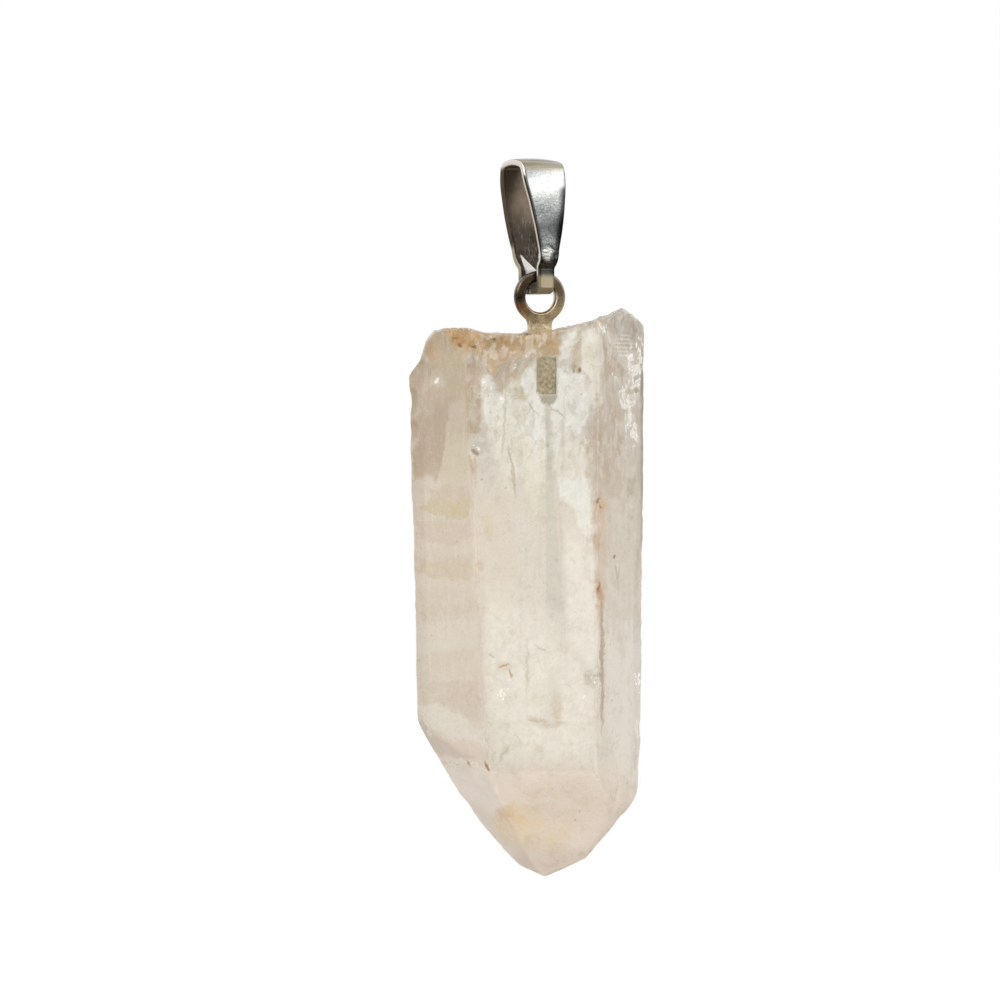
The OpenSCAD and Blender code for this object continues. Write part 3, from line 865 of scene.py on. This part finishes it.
def face_tints(t, q):
    """The broad tints of the faces, the growth bands of the side faces and fine streaks along the crystal."""
    cream = t.colour(q.high, (229, 221, 208), (222, 216, 203))
    col = t.colour(q.left, cream, (216, 202, 185))
    col = t.over(col, (226, 218, 208), q.right)
    near_tip = t.add(q.z, t.mul(t.sub(q.grit, 0.5), 2.5))
    near_tip = t.ramp(near_tip, SEAT_Z - 32.0, SEAT_Z - 33.8, 0, 0.8)
    col = t.over(col, (231, 216, 201), t.math("MAXIMUM", q.tip, near_tip))
    col = t.over(col, (240, 227, 216), q.tip, q.left)
    back = t.ramp(q.ny, -0.05, 0.25)
    col = t.over(col, (216, 203, 184), back, t.ramp(q.broad, 0.4, 0.62))
    top = t.ramp(q.nz, 0.25, 0.6)
    rusty = t.mul(top, t.ramp(t.sub(q.grit, t.mul(q.x, 0.02)), 0.42, 0.60))
    col = t.over(col, (208, 196, 174), top)
    col = t.over(col, (190, 148, 104), rusty, 0.7)
    bands = t.ramp(t.noise(q.wavy, 0.55, 3, 0.6, stretch=(0.2, 0.2, 1)), 0.38, 0.66)
    sides = t.math("MAXIMUM", q.left, t.mul(q.right, 0.35))
    col = t.over(col, (205, 190, 170), bands, sides, 0.4)
    col = t.over(col, (236, 231, 221), t.ramp(q.streak, 0.52, 0.75, 0, 0.30))
    col = t.over(col, (203, 193, 176), t.ramp(q.streak, 0.46, 0.28, 0, 0.26))
    return col


def painted(t, q, col):
    """Lays the painted marks over the colour, their edges broken up by the grit, and adds to q how dull,
    snowy, clear and milky they make the quartz."""
    paint = t.node("Attribute", attribute_name="mark_paint")
    cover = paint.outputs["Alpha"]
    covers = t.node("CombineXYZ", {0: cover, 1: cover, 2: cover}).outputs[0]
    tone = t.vector("DIVIDE", paint.outputs["Color"], covers)
    crisp = t.math("ADD", cover, t.mul(t.sub(q.grit, 0.5), 0.5), clamp=True)
    crisp = t.mul(t.ramp(crisp, 0.2, 0.7), t.add(t.mul(cover, 0.6), 0.4))
    col = t.over(col, tone, crisp, t.ramp(cover, 0.0, 0.2))
    kind = t.node("Attribute", attribute_name="mark_kind")
    q.dull, q.snow, q.window = t.split(kind.outputs["Color"])
    q.milky = kind.outputs["Alpha"]
    return col


def mottled(t, q, col):
    """Pale and dark clouds, weaker on the left face, and flecks."""
    uneven = t.lerp(q.left, 1.0, 0.35)
    col = t.over(col, (236, 233, 226), t.ramp(q.mottle, 0.50, 0.70, 0, 0.28), uneven)
    col = t.over(col, (192, 176, 150), t.ramp(q.mottle, 0.48, 0.32, 0, 0.30), uneven)
    fleck = t.noise(q.p, 4.2, 3, 0.6)
    col = t.over(col, (240, 238, 231), t.ramp(fleck, 0.60, 0.72, 0, 0.30))
    col = t.over(col, (186, 168, 138), t.ramp(fleck, 0.40, 0.30, 0, 0.26))
    return col


def snow_white(t, q, col):
    """White broken quartz in small pieces, and the combed break. Adds to q the pieces, how white they are and
    a crushed texture."""
    q.pick = t.add(t.mul(q.shard, 0.35), t.mul(q.flake, 0.35))
    q.snowy = t.mul(t.ramp(t.add(q.snow, q.pick), 0.84, 0.90), t.ramp(q.snow, 0.08, 0.2))
    q.crushed = t.noise(q.p, 7.0, 4, 0.75)
    col = t.over(col, t.colour(t.ramp(q.crushed, 0.42, 0.56), (208, 200, 187), (247, 245, 241)), q.snowy)
    comb = t.math("SINE", t.add(t.mul(q.z, 20.0), t.mul(q.grit, 9.0)))
    combed = t.mul(t.ramp(comb, 0.35, 0.85), t.mul(q.front, t.spot(q.ragged, *COMBED)))
    return t.over(col, (246, 243, 237), combed, 0.9)


def stained(t, q, col):
    """The shade of the upper part, the rust in the dull marks with painted glints among it, and fine crushed
    spots all over.
    """
    shade = t.ramp(q.z, SEAT_Z - 14, SEAT_Z - 6)
    col = t.colour(shade, col, (0.91, 0.90, 0.90, 1), "MULTIPLY")
    dulled = t.mul(q.dull, t.ramp(q.z, SEAT_Z - 4, SEAT_Z - 2))
    col = t.colour(dulled, col, (0.90, 0.85, 0.76, 1), "MULTIPLY")
    grains = t.mul(q.dull, t.ramp(q.crushed, 0.54, 0.64))
    col = t.over(col, (132, 100, 62), grains, 0.55)
    rusted = t.noise(q.ragged, 1.5, 4, 0.7)
    col = t.over(col, (222, 198, 160), q.dull, t.ramp(rusted, 0.52, 0.66, 0, 0.5))
    col = t.over(col, (152, 116, 72), q.dull, t.ramp(rusted, 0.47, 0.36, 0, 0.5))
    # Painted glints: pale specks in the stains
    glints = t.mul(q.dull, t.ramp(t.noise(q.ragged, 4.0, 2, 0.6), 0.66, 0.70))
    col = t.over(col, (236, 222, 192), glints, 0.6)
    col = t.over(col, (248, 244, 236), t.ramp(q.crushed, 0.55, 0.72, 0, 0.30))
    col = t.over(col, (170, 152, 124), t.ramp(q.crushed, 0.45, 0.28, 0, 0.34))
    return col


def broken_pieces(t, q, col):
    """Small broken pieces in the upper part, pale or dark, and their edges."""
    piecewise = t.mul(q.high, t.lerp(q.left, 1.0, 0.15))
    col = t.over(col, (243, 238, 230), piecewise, t.ramp(q.shard, 0.72, 0.76, 0, 0.22))
    col = t.over(col, (168, 150, 124), piecewise, t.ramp(q.shard, 0.26, 0.22, 0, 0.20))
    borders = t.cells(q.ragged, 2.0, "DISTANCE_TO_EDGE", stretch=(1.3, 1.3, 0.7))
    patchy = t.ramp(t.noise(q.p, 0.75, 3, 0.6), 0.50, 0.62)
    broken = t.mul(t.ramp(borders, 0.06, 0.02), patchy, q.high, t.lerp(q.left, 0.4, 0.0))
    col = t.over(col, t.colour(t.ramp(q.mottle, 0.47, 0.52), (160, 142, 114), (246, 242, 234)), broken)
    return col


def cracked(t, q, col):
    """Thin crooked cracks."""
    vein = t.math("ABSOLUTE", t.sub(t.noise(q.wavy, 0.42, 2, 0.5, stretch=(1, 1, 0.5), distort=0.6), 0.5))
    where_veins = t.ramp(t.noise(q.p, 0.30, 2), 0.50, 0.62)
    line = t.mul(t.ramp(vein, 0.012, 0.003), where_veins, q.upright)
    return t.over(col, (184, 166, 138), line, 0.35)


def fine_marked(t, q, col):
    """The small marks. Each is moved by a hair by the one before it, so that the renderer works them out in
    turn: worked out side by side, they would be more than its shader memory holds."""
    mask = q.front
    for px, py, rx, ry, turn, soft, fine_tone, strength in FINE_MARKS:
        in_turn = t.node("VectorMath", {0: mask, 1: (HAIR,) * 3, 2: q.wavy}, operation="MULTIPLY_ADD")
        mask = t.mul(t.spot(in_turn.outputs[0], px, py, rx, ry, turn, soft), q.front)
        col = t.over(col, fine_tone, mask, strength)
    return col


def specked(t, q, col):
    """Fine rust specks here and there."""
    speck = t.ramp(t.cells(q.wavy, 1.3, stretch=(1, 1, 0.8)), 0.16, 0.08)
    rare = t.ramp(t.noise(q.p, 0.35, 2), 0.56, 0.66)
    return t.over(col, (176, 140, 106), speck, rare, 0.5)


def quartz_polish(t, q):
    """How rough and how clear each kind of surface is."""
    clear, shine = 0.50, t.ramp(q.broad, 0.3, 0.7, 0.10, 0.24)
    for where, share in (
        (q.left, 0.32), (q.right, 0.32), (q.tip, 0.28), (q.milky, 0.22), (q.window, 0.94),
        (q.dull, 0.04), (q.snowy, 0.02),
    ):
        clear = t.lerp(where, clear, share)
    for where, roughness in (q.tip, 0.30), (q.window, 0.0), (q.dull, 0.55), (q.snowy, 0.40):
        shine = t.lerp(where, shine, roughness)
    return shine, clear


def quartz_relief(t, q):
    """The way the quartz faces, with its fine relief and the lean of the pane over the peg."""
    relief = t.add(t.mul(q.grit, 0.35), t.mul(q.streak, 0.4))
    relief = t.add(relief, t.mul(q.pick, t.add(t.mul(q.snow, 0.7), 0.05)))
    relief = t.mul(relief, t.sub(1.0, t.mul(q.window, 0.9)))
    pane_end = photo(PANE_END, 0)[0]
    peg_pane = t.mul(q.window, t.ramp(q.x, pane_end + 0.2, pane_end - 0.2))
    slant = t.node("CombineXYZ", {0: t.mul(peg_pane, PANE_SLANT)}).outputs[0]
    slant = t.node(
        "VectorTransform", {0: slant}, vector_type="VECTOR", convert_from="OBJECT", convert_to="WORLD"
    ).outputs[0]
    way = t.vector("NORMALIZE", t.vector("ADD", t.node("NewGeometry").outputs["Normal"], slant))
    return t.bump(relief, 0.10, 0.5, way)


def crystal_material():
    """Cloudy worn quartz with its tints, marks, cracks and snow-white breaks."""
    m, t = material("worn_quartz")
    q = quartz_fields(t)
    col = face_tints(t, q)
    for layer in painted, mottled, snow_white, stained, broken_pieces, cracked, fine_marked, specked:
        col = layer(t, q, col)
    shine, clear = quartz_polish(t, q)
    principled(t, base=col, rough=shine, clear=clear, ior=1.54, normal=quartz_relief(t, q))
    return m


def mark_bore(mesh):
    """Gives the wall of the drilled hole its own material."""
    for f in mesh.polygons:
        c = np.array(f.center) / MM - SEAT
        if np.hypot(c[0], c[1]) < BORE_R + 0.06 and -BORE_L - BORE_R - 0.05 < c[2] < -0.05:
            f.material_index = 1


def make_bore_material():
    """The ground wall of the drilled hole, with the peg and its glue behind it and a painted highlight round
    the peg's end. Its glow is the light that the quartz round it scatters."""
    m, t = material("ground_bore")
    p = t.place()
    x, _, z = t.split(p)
    end = SEAT_Z - PEG_L
    grain = t.noise(p, 3.4, 5, 0.7)
    col = t.colour(t.ramp(grain, 0.38, 0.62), (196, 180, 146), (250, 242, 214))
    aside = t.math("ABSOLUTE", t.sub(x, float(SEAT[0])))
    col = t.over(col, (128, 108, 80), t.ramp(aside, 0.58, 0.72, 0, 0.9))
    empty = t.ramp(z, end + 0.05, end - 0.05)
    col = t.over(col, (240, 240, 226), empty)
    # A painted highlight: a white line round the end of the peg
    rim = t.ramp(t.math("ABSOLUTE", t.sub(z, end - 0.05)), 0.10, 0.05)
    col = t.over(col, (255, 255, 252), rim)
    principled(t, base=col, rough=0.6, glow=col, glow_strength=0.30, normal=t.bump(grain, 0.05, 0.6))
    return m


# The bail's strap, from the same values as the model's
BAIL_H, STRAP_T, LOOP_D = 10.55, 0.5, 4.3
STRAP_END_W, STRAP_TOP_W = 1.4, 3.85
EYE_TURN, BAIL_TURN, BAIL_LEAN, BAIL_SLIDE, BAIL_ASIDE = 17.0, 34.0, 4.0, 0.34, 0.06
EYE_HOLE_R, EYE_T, EYE_PLAY, END_GAP = 1.19, 0.72, 0.05, 0.12
# The strap's width: share of the bail's height, and share of the way from its end's width to its top's
STRAP_WIDTHS = [
    (-0.20, 0), (0.18, 0), (0.34, 0.12), (0.42, 0.28), (0.60, 0.58), (0.82, 0.95), (0.90, 1), (1.10, 1),
]
STRAP_CROWN = 0.13
KNUCKLE_Z, KNUCKLE_DOME = 3.2, 0.16
# How much wider the back leaf is on its right: height above the hole's centre and width in mm
BACK_LEAF_SPARE = [
    (0.4, 0.0), (0.6, 0.16), (1.9, 0.16), (2.3, 0.25), (2.9, 0.60), (3.7, 0.62), (4.6, 0.35), (5.8, 0.0),
]
EDGE_ROUND = 0.13


def outward(lean):
    """The direction in depth and height that leans down by that many degrees."""
    a = math.radians(lean)
    return np.array([math.cos(a), -math.sin(a)])


def strap_line():
    """The strap's middle line on one side, from the loop's top to the end in the hole:
    rows of depth, height and the outward direction."""
    mid = STRAP_T / 2
    turn = math.radians(BAIL_TURN - EYE_TURN)
    end_side = STRAP_END_W / 2 + BAIL_ASIDE
    corner = EYE_T / 2 + end_side * math.sin(turn)
    reach = end_side * math.cos(turn) + math.tan(turn) * corner
    end_top = math.sqrt((EYE_HOLE_R - EYE_PLAY) ** 2 - reach ** 2)
    leg_mid = corner / math.cos(turn) + EYE_PLAY + mid + BAIL_SLIDE
    # The radii of the strap's bends to its middle line, from the top down, and the leans where some end
    cap_r, shoulder_r, side_r = 3.7 - mid, 0.7 - mid, 19
    flare_r, knuckle_r, tuck_r, bend_r = 1.2, 1.2, 0.6, 0.4
    cap_lean, side_lean, flare_lean = -72, 5, -5
    cap_c = np.array([0, BAIL_H - mid - cap_r])
    shoulder_c = cap_c + (cap_r - shoulder_r) * outward(cap_lean)
    side_x = LOOP_D / 2 - mid - side_r
    side_z = shoulder_c[1] - math.sqrt((side_r - shoulder_r) ** 2 - (shoulder_c[0] - side_x) ** 2)
    side_c = np.array([side_x, side_z])
    shoulder_lean = -math.degrees(math.atan2(shoulder_c[1] - side_z, shoulder_c[0] - side_x))
    flare_c = side_c + (side_r + flare_r) * outward(side_lean)
    knuckle_from = flare_c - flare_r * outward(flare_lean)
    knuckle_c = knuckle_from - knuckle_r * outward(flare_lean)
    knuckle_reach = knuckle_r * math.cos(math.radians(flare_lean)) + tuck_r
    tuck_lean = math.degrees(math.acos((knuckle_reach - knuckle_from[0] + leg_mid) / (knuckle_r + tuck_r)))
    tuck_c = knuckle_c + (knuckle_r + tuck_r) * outward(tuck_lean)
    bend_c = np.array([leg_mid - bend_r, end_top - mid + bend_r])
    arcs = [
        (cap_c, cap_r, -90, cap_lean, 1), (shoulder_c, shoulder_r, cap_lean, shoulder_lean, 1),
        (side_c, side_r, shoulder_lean, side_lean, 1), (flare_c, flare_r, side_lean, flare_lean, -1),
        (knuckle_c, knuckle_r, flare_lean, tuck_lean, 1), (tuck_c, tuck_r, tuck_lean, 0, -1),
        (bend_c, bend_r, 0, 90, 1),
    ]
    rows = []
    for centre, r, start, stop, bulge in arcs:
        steps = max(4, round(abs(stop - start) * math.pi / 180 * r / 0.07))
        for i in range(0 if not rows else 1, steps + 1):
            lean = start + (stop - start) * i / steps
            rows.append([*(centre + bulge * r * outward(lean)), *outward(lean)])
    end_z = rows[-1][1]
    for u in np.linspace(rows[-1][0], END_GAP / 2, 5)[1:]:
        rows.append([u, end_z, 0.0, -1.0])
    return np.array(rows)


def section_ring(half_w, half_t, crown, count=9):
    """The strap's section: rows of across, out and 1 on the inner face."""
    r = min(EDGE_ROUND, half_t * 0.95)
    ring = []
    for sign_s, sign_t, start in ((1, 1, 0), (-1, 1, 90), (-1, -1, 180), (1, -1, 270)):
        centre = (sign_s * (half_w - r), sign_t * (half_t - r))
        for i in range(5):
            a = math.radians(start + 90 * i / 4)
            ring.append([centre[0] + r * math.cos(a), centre[1] + r * math.sin(a), float(sign_t < 0)])
        if sign_s * sign_t > 0:
            for i in range(1, count):
                s = sign_s * (half_w - r) * (1 - 2 * i / count)
                ring.append([s, sign_t * half_t, float(sign_t < 0)])
    ring = np.array(ring)
    ring[:, 1] += crown * (1 - (ring[:, 0] / half_w) ** 2)
    return ring


def tube_faces(rings, n):
    """The faces of a tube of that many rings of n points, with its ends closed."""
    faces = []
    for i in range(rings - 1):
        for j in range(n):
            k = (j + 1) % n
            faces.append((i * n + j, i * n + k, (i + 1) * n + k, (i + 1) * n + j))
    faces.append(tuple(range(n))[::-1])
    faces.append(tuple((rings - 1) * n + j for j in range(n)))
    return faces


def make_bail():
    """The strap: sections along its middle line, over the loop and down both leaves."""
    side = strap_line()
    line = np.concatenate([side[::-1][:-1] * [-1, 1, -1, 1], side])
    shares, widths = np.array(STRAP_WIDTHS).T
    points, inner, across = [], [], []
    for u, v, nu, nv in line:
        share = np.mean([np.interp((v + d) / BAIL_H, shares, widths) for d in (-0.4, -0.2, 0, 0.2, 0.4)])
        half_w = (STRAP_END_W + share * (STRAP_TOP_W - STRAP_END_W)) / 2
        ring = section_ring(half_w, STRAP_T / 2, STRAP_CROWN * share)
        for s, out, inside in ring:
            share_out = s / half_w
            if s > 0 and u > 0:
                spare = float(np.interp(v, *zip(*BACK_LEAF_SPARE)))
                s *= 1 + spare / half_w * min(1, max(0, (u - 0.95) / 0.25))
            dome = KNUCKLE_DOME * math.exp(-((share_out + 0.25) / 0.42) ** 2 - ((v - KNUCKLE_Z) / 0.5) ** 2)
            out += dome * (u < 0) * (1 - inside)
            points.append([s, u + nu * out, v + nv * out])
            inner.append(inside)
            across.append(share_out)
    points = np.array(points)
    points[:, 1] += BAIL_SLIDE + np.maximum(0, points[:, 2] - 1.9) * math.tan(math.radians(BAIL_LEAN))
    wobble = noise_at(points, 2.4, 2, 91.0)
    points[:, 1] += 0.03 * wobble * np.clip((points[:, 2] - 2.0) / 2, 0, 1)
    turn = math.radians(BAIL_TURN)
    x = (points[:, 0] - BAIL_ASIDE) * math.cos(turn) - points[:, 1] * math.sin(turn)
    y = (points[:, 0] - BAIL_ASIDE) * math.sin(turn) + points[:, 1] * math.cos(turn)
    placed = np.stack([x, y, points[:, 2]], -1) + HOLE
    mesh = bpy.data.meshes.new("bail_strap")
    mesh.from_pydata([tuple(q * MM) for q in placed], [], tube_faces(len(line), len(ring)))
    edit(mesh, lambda bm: bmesh.ops.recalc_face_normals(bm, faces=bm.faces))
    mesh.shade_smooth()
    for name, values in (("inner_face", inner), ("across", across)):
        layer = mesh.attributes.new(name, "FLOAT", "POINT")
        layer.data.foreach_set("value", np.array(values, np.float32))
    return mesh


# The painted highlight low on the back leaf's inner face, in pixels of the photograph
HIGHLIGHT_WEDGE = [(521, 255), (538.5, 272.5), (527.5, 277)]
# The painted highlight on the front leaf's knuckle, as an oval: pixel, half sizes, turn and soft
GLEAM = (547, 254.5, 5, 7, -20, 1.0)


def bail_fields(t):
    """What the strap's looks are made of: where a point is, on which face, how far across, and textures."""
    b = SimpleNamespace(p=t.place())
    _, b.y, b.z = t.split(b.p)
    b.inner = t.node("Attribute", attribute_name="inner_face").outputs["Fac"]
    b.across = t.node("Attribute", attribute_name="across").outputs["Fac"]
    b.cloud = t.noise(b.p, 0.7, 4, 0.6)
    b.fine = t.noise(b.p, 6.0, 4, 0.75)
    b.scratch = t.noise(b.p, 3.0, 3, 0.6, stretch=(3.5, 3.5, 0.35))
    tilted = t.node("Mapping", {"Vector": b.p, "Rotation": (0, 0.75, 0), "Scale": (0.9, 1, 7)})
    b.nick = t.noise(tilted.outputs[0], 2.2, 2, 0.6)
    return b


def above_hole(t, z, low, high, *values):
    """A ramp between two heights in mm above the hole's centre."""
    return t.ramp(z, HOLE_Z + low, HOLE_Z + high, *values)


def bail_outside(t, b):
    """The outer face: grey with pits. Painted shade darkens it lower down, at its right side, along its edges
    and below the knuckle. Painted reflections make it warm at the top and at the end in the hole, and dark
    along the very top. Adds to b that end and the painted highlight on the knuckle."""
    col = t.colour(t.ramp(b.cloud, 0.35, 0.65), (190, 193, 192), (214, 215, 211))
    worn = above_hole(t, b.z, 8.6, 6.8, 0.35, 1)
    col = t.over(col, (252, 252, 250), t.ramp(b.fine, 0.56, 0.64, 0, 0.8), worn)
    col = t.over(col, (104, 108, 106), t.ramp(b.fine, 0.45, 0.36, 0, 0.8), worn)
    col = t.over(col, (252, 252, 250), t.ramp(b.nick, 0.62, 0.66, 0, 0.8), worn)
    col = t.over(col, (84, 86, 84), t.ramp(b.nick, 0.37, 0.34, 0, 0.7), worn)
    # Painted shade: darker blue-grey lower down, where the face mirrors darker surroundings
    col = t.over(col, (118, 124, 124), above_hole(t, b.z, 7.6, 5.0, 0, 0.5))
    # Painted shade: dark at the right side, from high up downwards
    aside = t.add(b.across, above_hole(t, b.z, 8.0, 4.0, 0, 0.25))
    in_shade = t.mul(t.ramp(aside, 0.50, 0.90), above_hole(t, b.z, 8.7, 8.1, 0, 0.85))
    col = t.over(col, (50, 51, 50), in_shade)
    # Painted shade: a dark line along both edges of the face
    rim = t.ramp(t.math("ABSOLUTE", b.across), 0.87, 0.95)
    col = t.over(col, (70, 66, 60), rim, 0.8)
    b.tongue = above_hole(t, b.z, 1.85, 1.35)
    # Painted reflections: warm beige high up and a dark line along the very top
    col = t.over(col, (176, 168, 152), above_hole(t, b.z, 9.5, 9.8, 0, 0.85))
    col = t.over(col, (104, 98, 86), above_hole(t, b.z, 10.36, 10.44, 0, 0.8))
    # Painted shade below the knuckle
    col = t.over(col, (54, 52, 48), above_hole(t, b.z, 3.0, 2.7, 0, 0.92))
    # A painted highlight on the knuckle
    b.gleam = t.mul(t.spot(b.p, *GLEAM), t.sub(1.0, b.inner), t.ramp(b.y, -1.2, -1.6))
    col = t.over(col, t.colour(t.ramp(b.nick, 0.42, 0.54), (150, 150, 146), (250, 249, 246)), b.gleam)
    # A warm painted reflection on the end in the hole
    col = t.over(col, (150, 137, 112), b.tongue, 0.95)
    return col


def bail_inside(t, b, col):
    """The inner face: brown, darkened by painted shade that is deepest low down, with lighter rubbed streaks.
    """
    # The inner face's brown, darkened by painted shade
    shaded_inside = t.colour(t.ramp(b.cloud, 0.38, 0.62), (140, 124, 108), (168, 150, 132))
    # Painted shade, deepest low down where the leaves close in
    shaded_inside = t.over(shaded_inside, (52, 45, 37), above_hole(t, b.z, 7.5, 4.2, 0, 0.9))
    shaded_inside = t.over(shaded_inside, (168, 154, 138), t.ramp(b.scratch, 0.56, 0.66, 0, 0.5))
    return t.over(col, shaded_inside, b.inner, 0.95)


def bail_edges(t, b, col):
    """The strap's edges, in painted light: a pale painted highlight along the front leaf's with a painted
    dark line beside it, painted shade on the back leaf's with a pale painted highlight low down, pale painted
    highlights over the top, and a warm painted reflection at the end.
    """
    side = t.ramp(t.math("ABSOLUTE", b.across), 0.955, 0.985)
    # Painted light on the edges: on the front leaf a pale highlight with a dark line beside it, on the back
    # leaf shade
    on_front = t.colour(t.ramp(b.inner, 0.25, 0.5), (60, 56, 48), (236, 228, 214))
    on_back = t.colour(t.ramp(b.inner, 0.2, 0.6), (40, 36, 30), (98, 85, 71))
    # A pale painted highlight low on the back leaf's edges
    on_back = t.over(on_back, (186, 174, 154), above_hole(t, b.z, 4.2, 3.6))
    side_tone = t.colour(t.ramp(b.y, -2.1, -1.6), on_front, on_back)
    # Pale painted highlights where the edges run over the top
    fold = t.add(b.z, t.ramp(b.y, -1.6, -2.4, 0, 0.6))
    side_tone = t.over(side_tone, (240, 232, 224), t.ramp(fold, HOLE_Z + 9.7, HOLE_Z + 10.1))
    # A warm painted reflection on the end in the hole
    side_tone = t.over(side_tone, (122, 110, 92), b.tongue)
    return t.over(col, side_tone, side, t.ramp(b.across, 0.2, -0.2, 0.35, 0.95))


def bail_material():
    """Worn white metal: bright outside with fine scratches and pits, brown inside, with painted light and
    shade on both.
    """
    m, t = material("worn_white_metal")
    b = bail_fields(t)
    col = bail_edges(t, b, bail_inside(t, b, bail_outside(t, b)))
    # A painted highlight, a white patch low on the back leaf's inner face. Spots that show bright are less
    # like a mirror.
    painted_highlight = t.mul(t.wedge(b.p, HIGHLIGHT_WEDGE), t.mul(b.inner, t.ramp(b.y, 0.0, 0.3)))
    col = t.over(col, (248, 247, 244), painted_highlight, 0.9)
    shine = t.add(t.ramp(b.cloud, 0.3, 0.7, 0.10, 0.18), t.ramp(b.scratch, 0.5, 0.7, 0, 0.08))
    shine = t.lerp(b.inner, shine, 0.38)
    plain = t.math("MAXIMUM", t.math("MAXIMUM", painted_highlight, t.mul(b.tongue, 0.6)), t.mul(b.gleam, 0.7))
    metal = t.lerp(plain, 1.0, 0.2)
    relief = t.add(t.mul(b.fine, 0.6), t.mul(b.scratch, 0.6))
    principled(t, base=col, metallic=metal, rough=shine, normal=t.bump(relief, 0.014, 0.7))
    return m


# The painted shade on the eye, darkest at its upper left and on its left side: pixel, half sizes, turn,
# colour and strength
EYE_SPOTS = [
    (515, 296, 12, 26, 18, (32, 24, 20), 1.0),
    (524, 284, 14, 9, -30, (92, 78, 67), 0.85),
    (524, 309, 8, 6, 30, (150, 110, 80), 0.7),
    (556, 285, 7, 7, 0, (128, 116, 92), 0.6),
]


def eye_material():
    """Warm grey-beige metal, darkened by painted shade at the upper left, and lighter and yellower below from
    glue and painted light.
    """
    m, t = material("warm_worn_metal")
    p = t.place()
    w = t.vector("ADD", p, t.scaled(t.jitter(p, 1.6), 0.5))
    cloud = t.noise(p, 1.2, 4, 0.6)
    fine = t.noise(p, 8.0, 4, 0.7)
    # Lighter and yellower below: yellowed with glue, and painted light
    low = t.ramp(t.split(p)[2], HOLE_Z + 0.4, HOLE_Z - 1.6)
    col = t.colour(low, (176, 164, 146), (228, 210, 174))
    # Painted shade, darkest at the upper left and on the ring's left side
    for px, py, rx, ry, turn, tone, strength in EYE_SPOTS:
        col = t.over(col, tone, t.spot(w, px, py, rx, ry, turn, 0.9), strength)
    col = t.over(col, (132, 116, 94), t.ramp(cloud, 0.40, 0.60, 0.45, 0))
    col = t.over(col, (226, 216, 196), t.ramp(fine, 0.64, 0.74, 0, 0.6))
    shine = t.ramp(cloud, 0.3, 0.7, 0.18, 0.32)
    relief = t.add(fine, t.mul(cloud, 2.0))
    principled(t, base=col, metallic=1.0, rough=shine, normal=t.bump(relief, 0.02, 0.5))
    return m


def glue_material():
    """Yellowed clear glue."""
    m, t = material("clear_glue")
    p = t.place()
    cloud = t.noise(p, 2.0, 3, 0.6)
    col = t.colour(t.ramp(cloud, 0.35, 0.65), (196, 170, 126), (216, 198, 164))
    principled(t, base=col, rough=t.ramp(cloud, 0.3, 0.7, 0.08, 0.25), clear=0.45, ior=1.5)
    return m


def smooth_foot(mesh, co):
    """Makes the neck's foot as flat as the web above it."""
    a = math.radians(EYE_TURN)
    facing = np.array([math.sin(a), -math.cos(a), 0])
    depth = (co - HOLE) @ facing
    low = co[:, 2] < HOLE[2] - 1.7
    on_foot = low & (co[:, 2] > SEAT[2] + 0.02)
    most = EYE_T / 2 - 0.03
    over = np.where(on_foot, np.clip(np.abs(depth) - most, 0, None) * np.sign(depth), 0)
    set_points(mesh, co - 0.94 * over[:, None] * facing)

    def smooth(bm):
        bm.verts.ensure_lookup_table()
        foot = [bm.verts[i] for i in np.flatnonzero(low & (co[:, 2] > SEAT[2] + 0.15))]
        for _ in range(12):
            bmesh.ops.smooth_vert(bm, verts=foot, factor=0.5,
                                  use_axis_x=True, use_axis_y=True, use_axis_z=True)

    edit(mesh, smooth)
    mesh.update()


quartz = make_crystal()
quartz.materials.append(crystal_material())
quartz.materials.append(make_bore_material())
mark_bore(quartz)
quartz.shade_smooth()
new_piece("quartz_point", quartz, "drop", "crystal_point")

strap = make_bail()
strap.materials.append(bail_material())
new_piece("bail_strap", strap, "bail", "bail")

eye, eye_co = remeshed("eye_peg", 0.045, 3)
eye.name = "eye_and_peg"
set_points(eye, eye_co)
smooth_foot(eye, eye_co)
eye.materials.append(eye_material())
eye.shade_smooth()
new_piece("eye_and_peg", eye, "drop", "eye_peg")

# The pool of glue's outline: distance from the peg and height above the seat in mm, from the middle of its
# top to the middle of its underside
POOL = [
    (0.0, 0.34), (0.5, 0.33), (0.9, 0.27), (1.15, 0.17),
    (1.4, 0.06), (1.62, -0.02), (1.66, -0.10), (0.0, -0.10),
]


def make_pool():
    """The pool of glue round the neck's foot: a lathed dome with an uneven rim."""
    across = 72
    rings = POOL[1:-1]
    points = [(0.0, 0.0, POOL[0][1])]
    turns = [2 * math.pi * i / across for i in range(across)]
    for r, h in rings:
        points += [(r * math.cos(a), r * math.sin(a), h) for a in turns]
    points.append((0.0, 0.0, POOL[-1][1]))
    faces = [(0, 1 + i, 1 + (i + 1) % across) for i in range(across)]
    for k in range(len(rings) - 1):
        a, b = 1 + k * across, 1 + (k + 1) * across
        faces += [(a + i, b + i, b + (i + 1) % across, a + (i + 1) % across) for i in range(across)]
    last, a = len(points) - 1, 1 + (len(rings) - 1) * across
    faces += [(last, a + (i + 1) % across, a + i) for i in range(across)]
    co = np.array(points) + SEAT
    swell = 0.10 * noise_at(co, 0.9, 2, 61.0)
    co[:, :2] += swell[:, None] * (co - SEAT)[:, :2]
    mesh = bpy.data.meshes.new("bead_of_glue")
    mesh.from_pydata([tuple(q * MM) for q in co], [], faces)

    def finer(bm):
        bmesh.ops.subdivide_edges(bm, edges=bm.edges[:], cuts=1, smooth=0.6, use_grid_fill=True)
        bmesh.ops.recalc_face_normals(bm, faces=bm.faces)

    edit(mesh, finer)
    return mesh


bead = make_pool()
bead.materials.append(glue_material())
bead.shade_smooth()
new_piece("bead_of_glue", bead, "drop", "glue_bead")
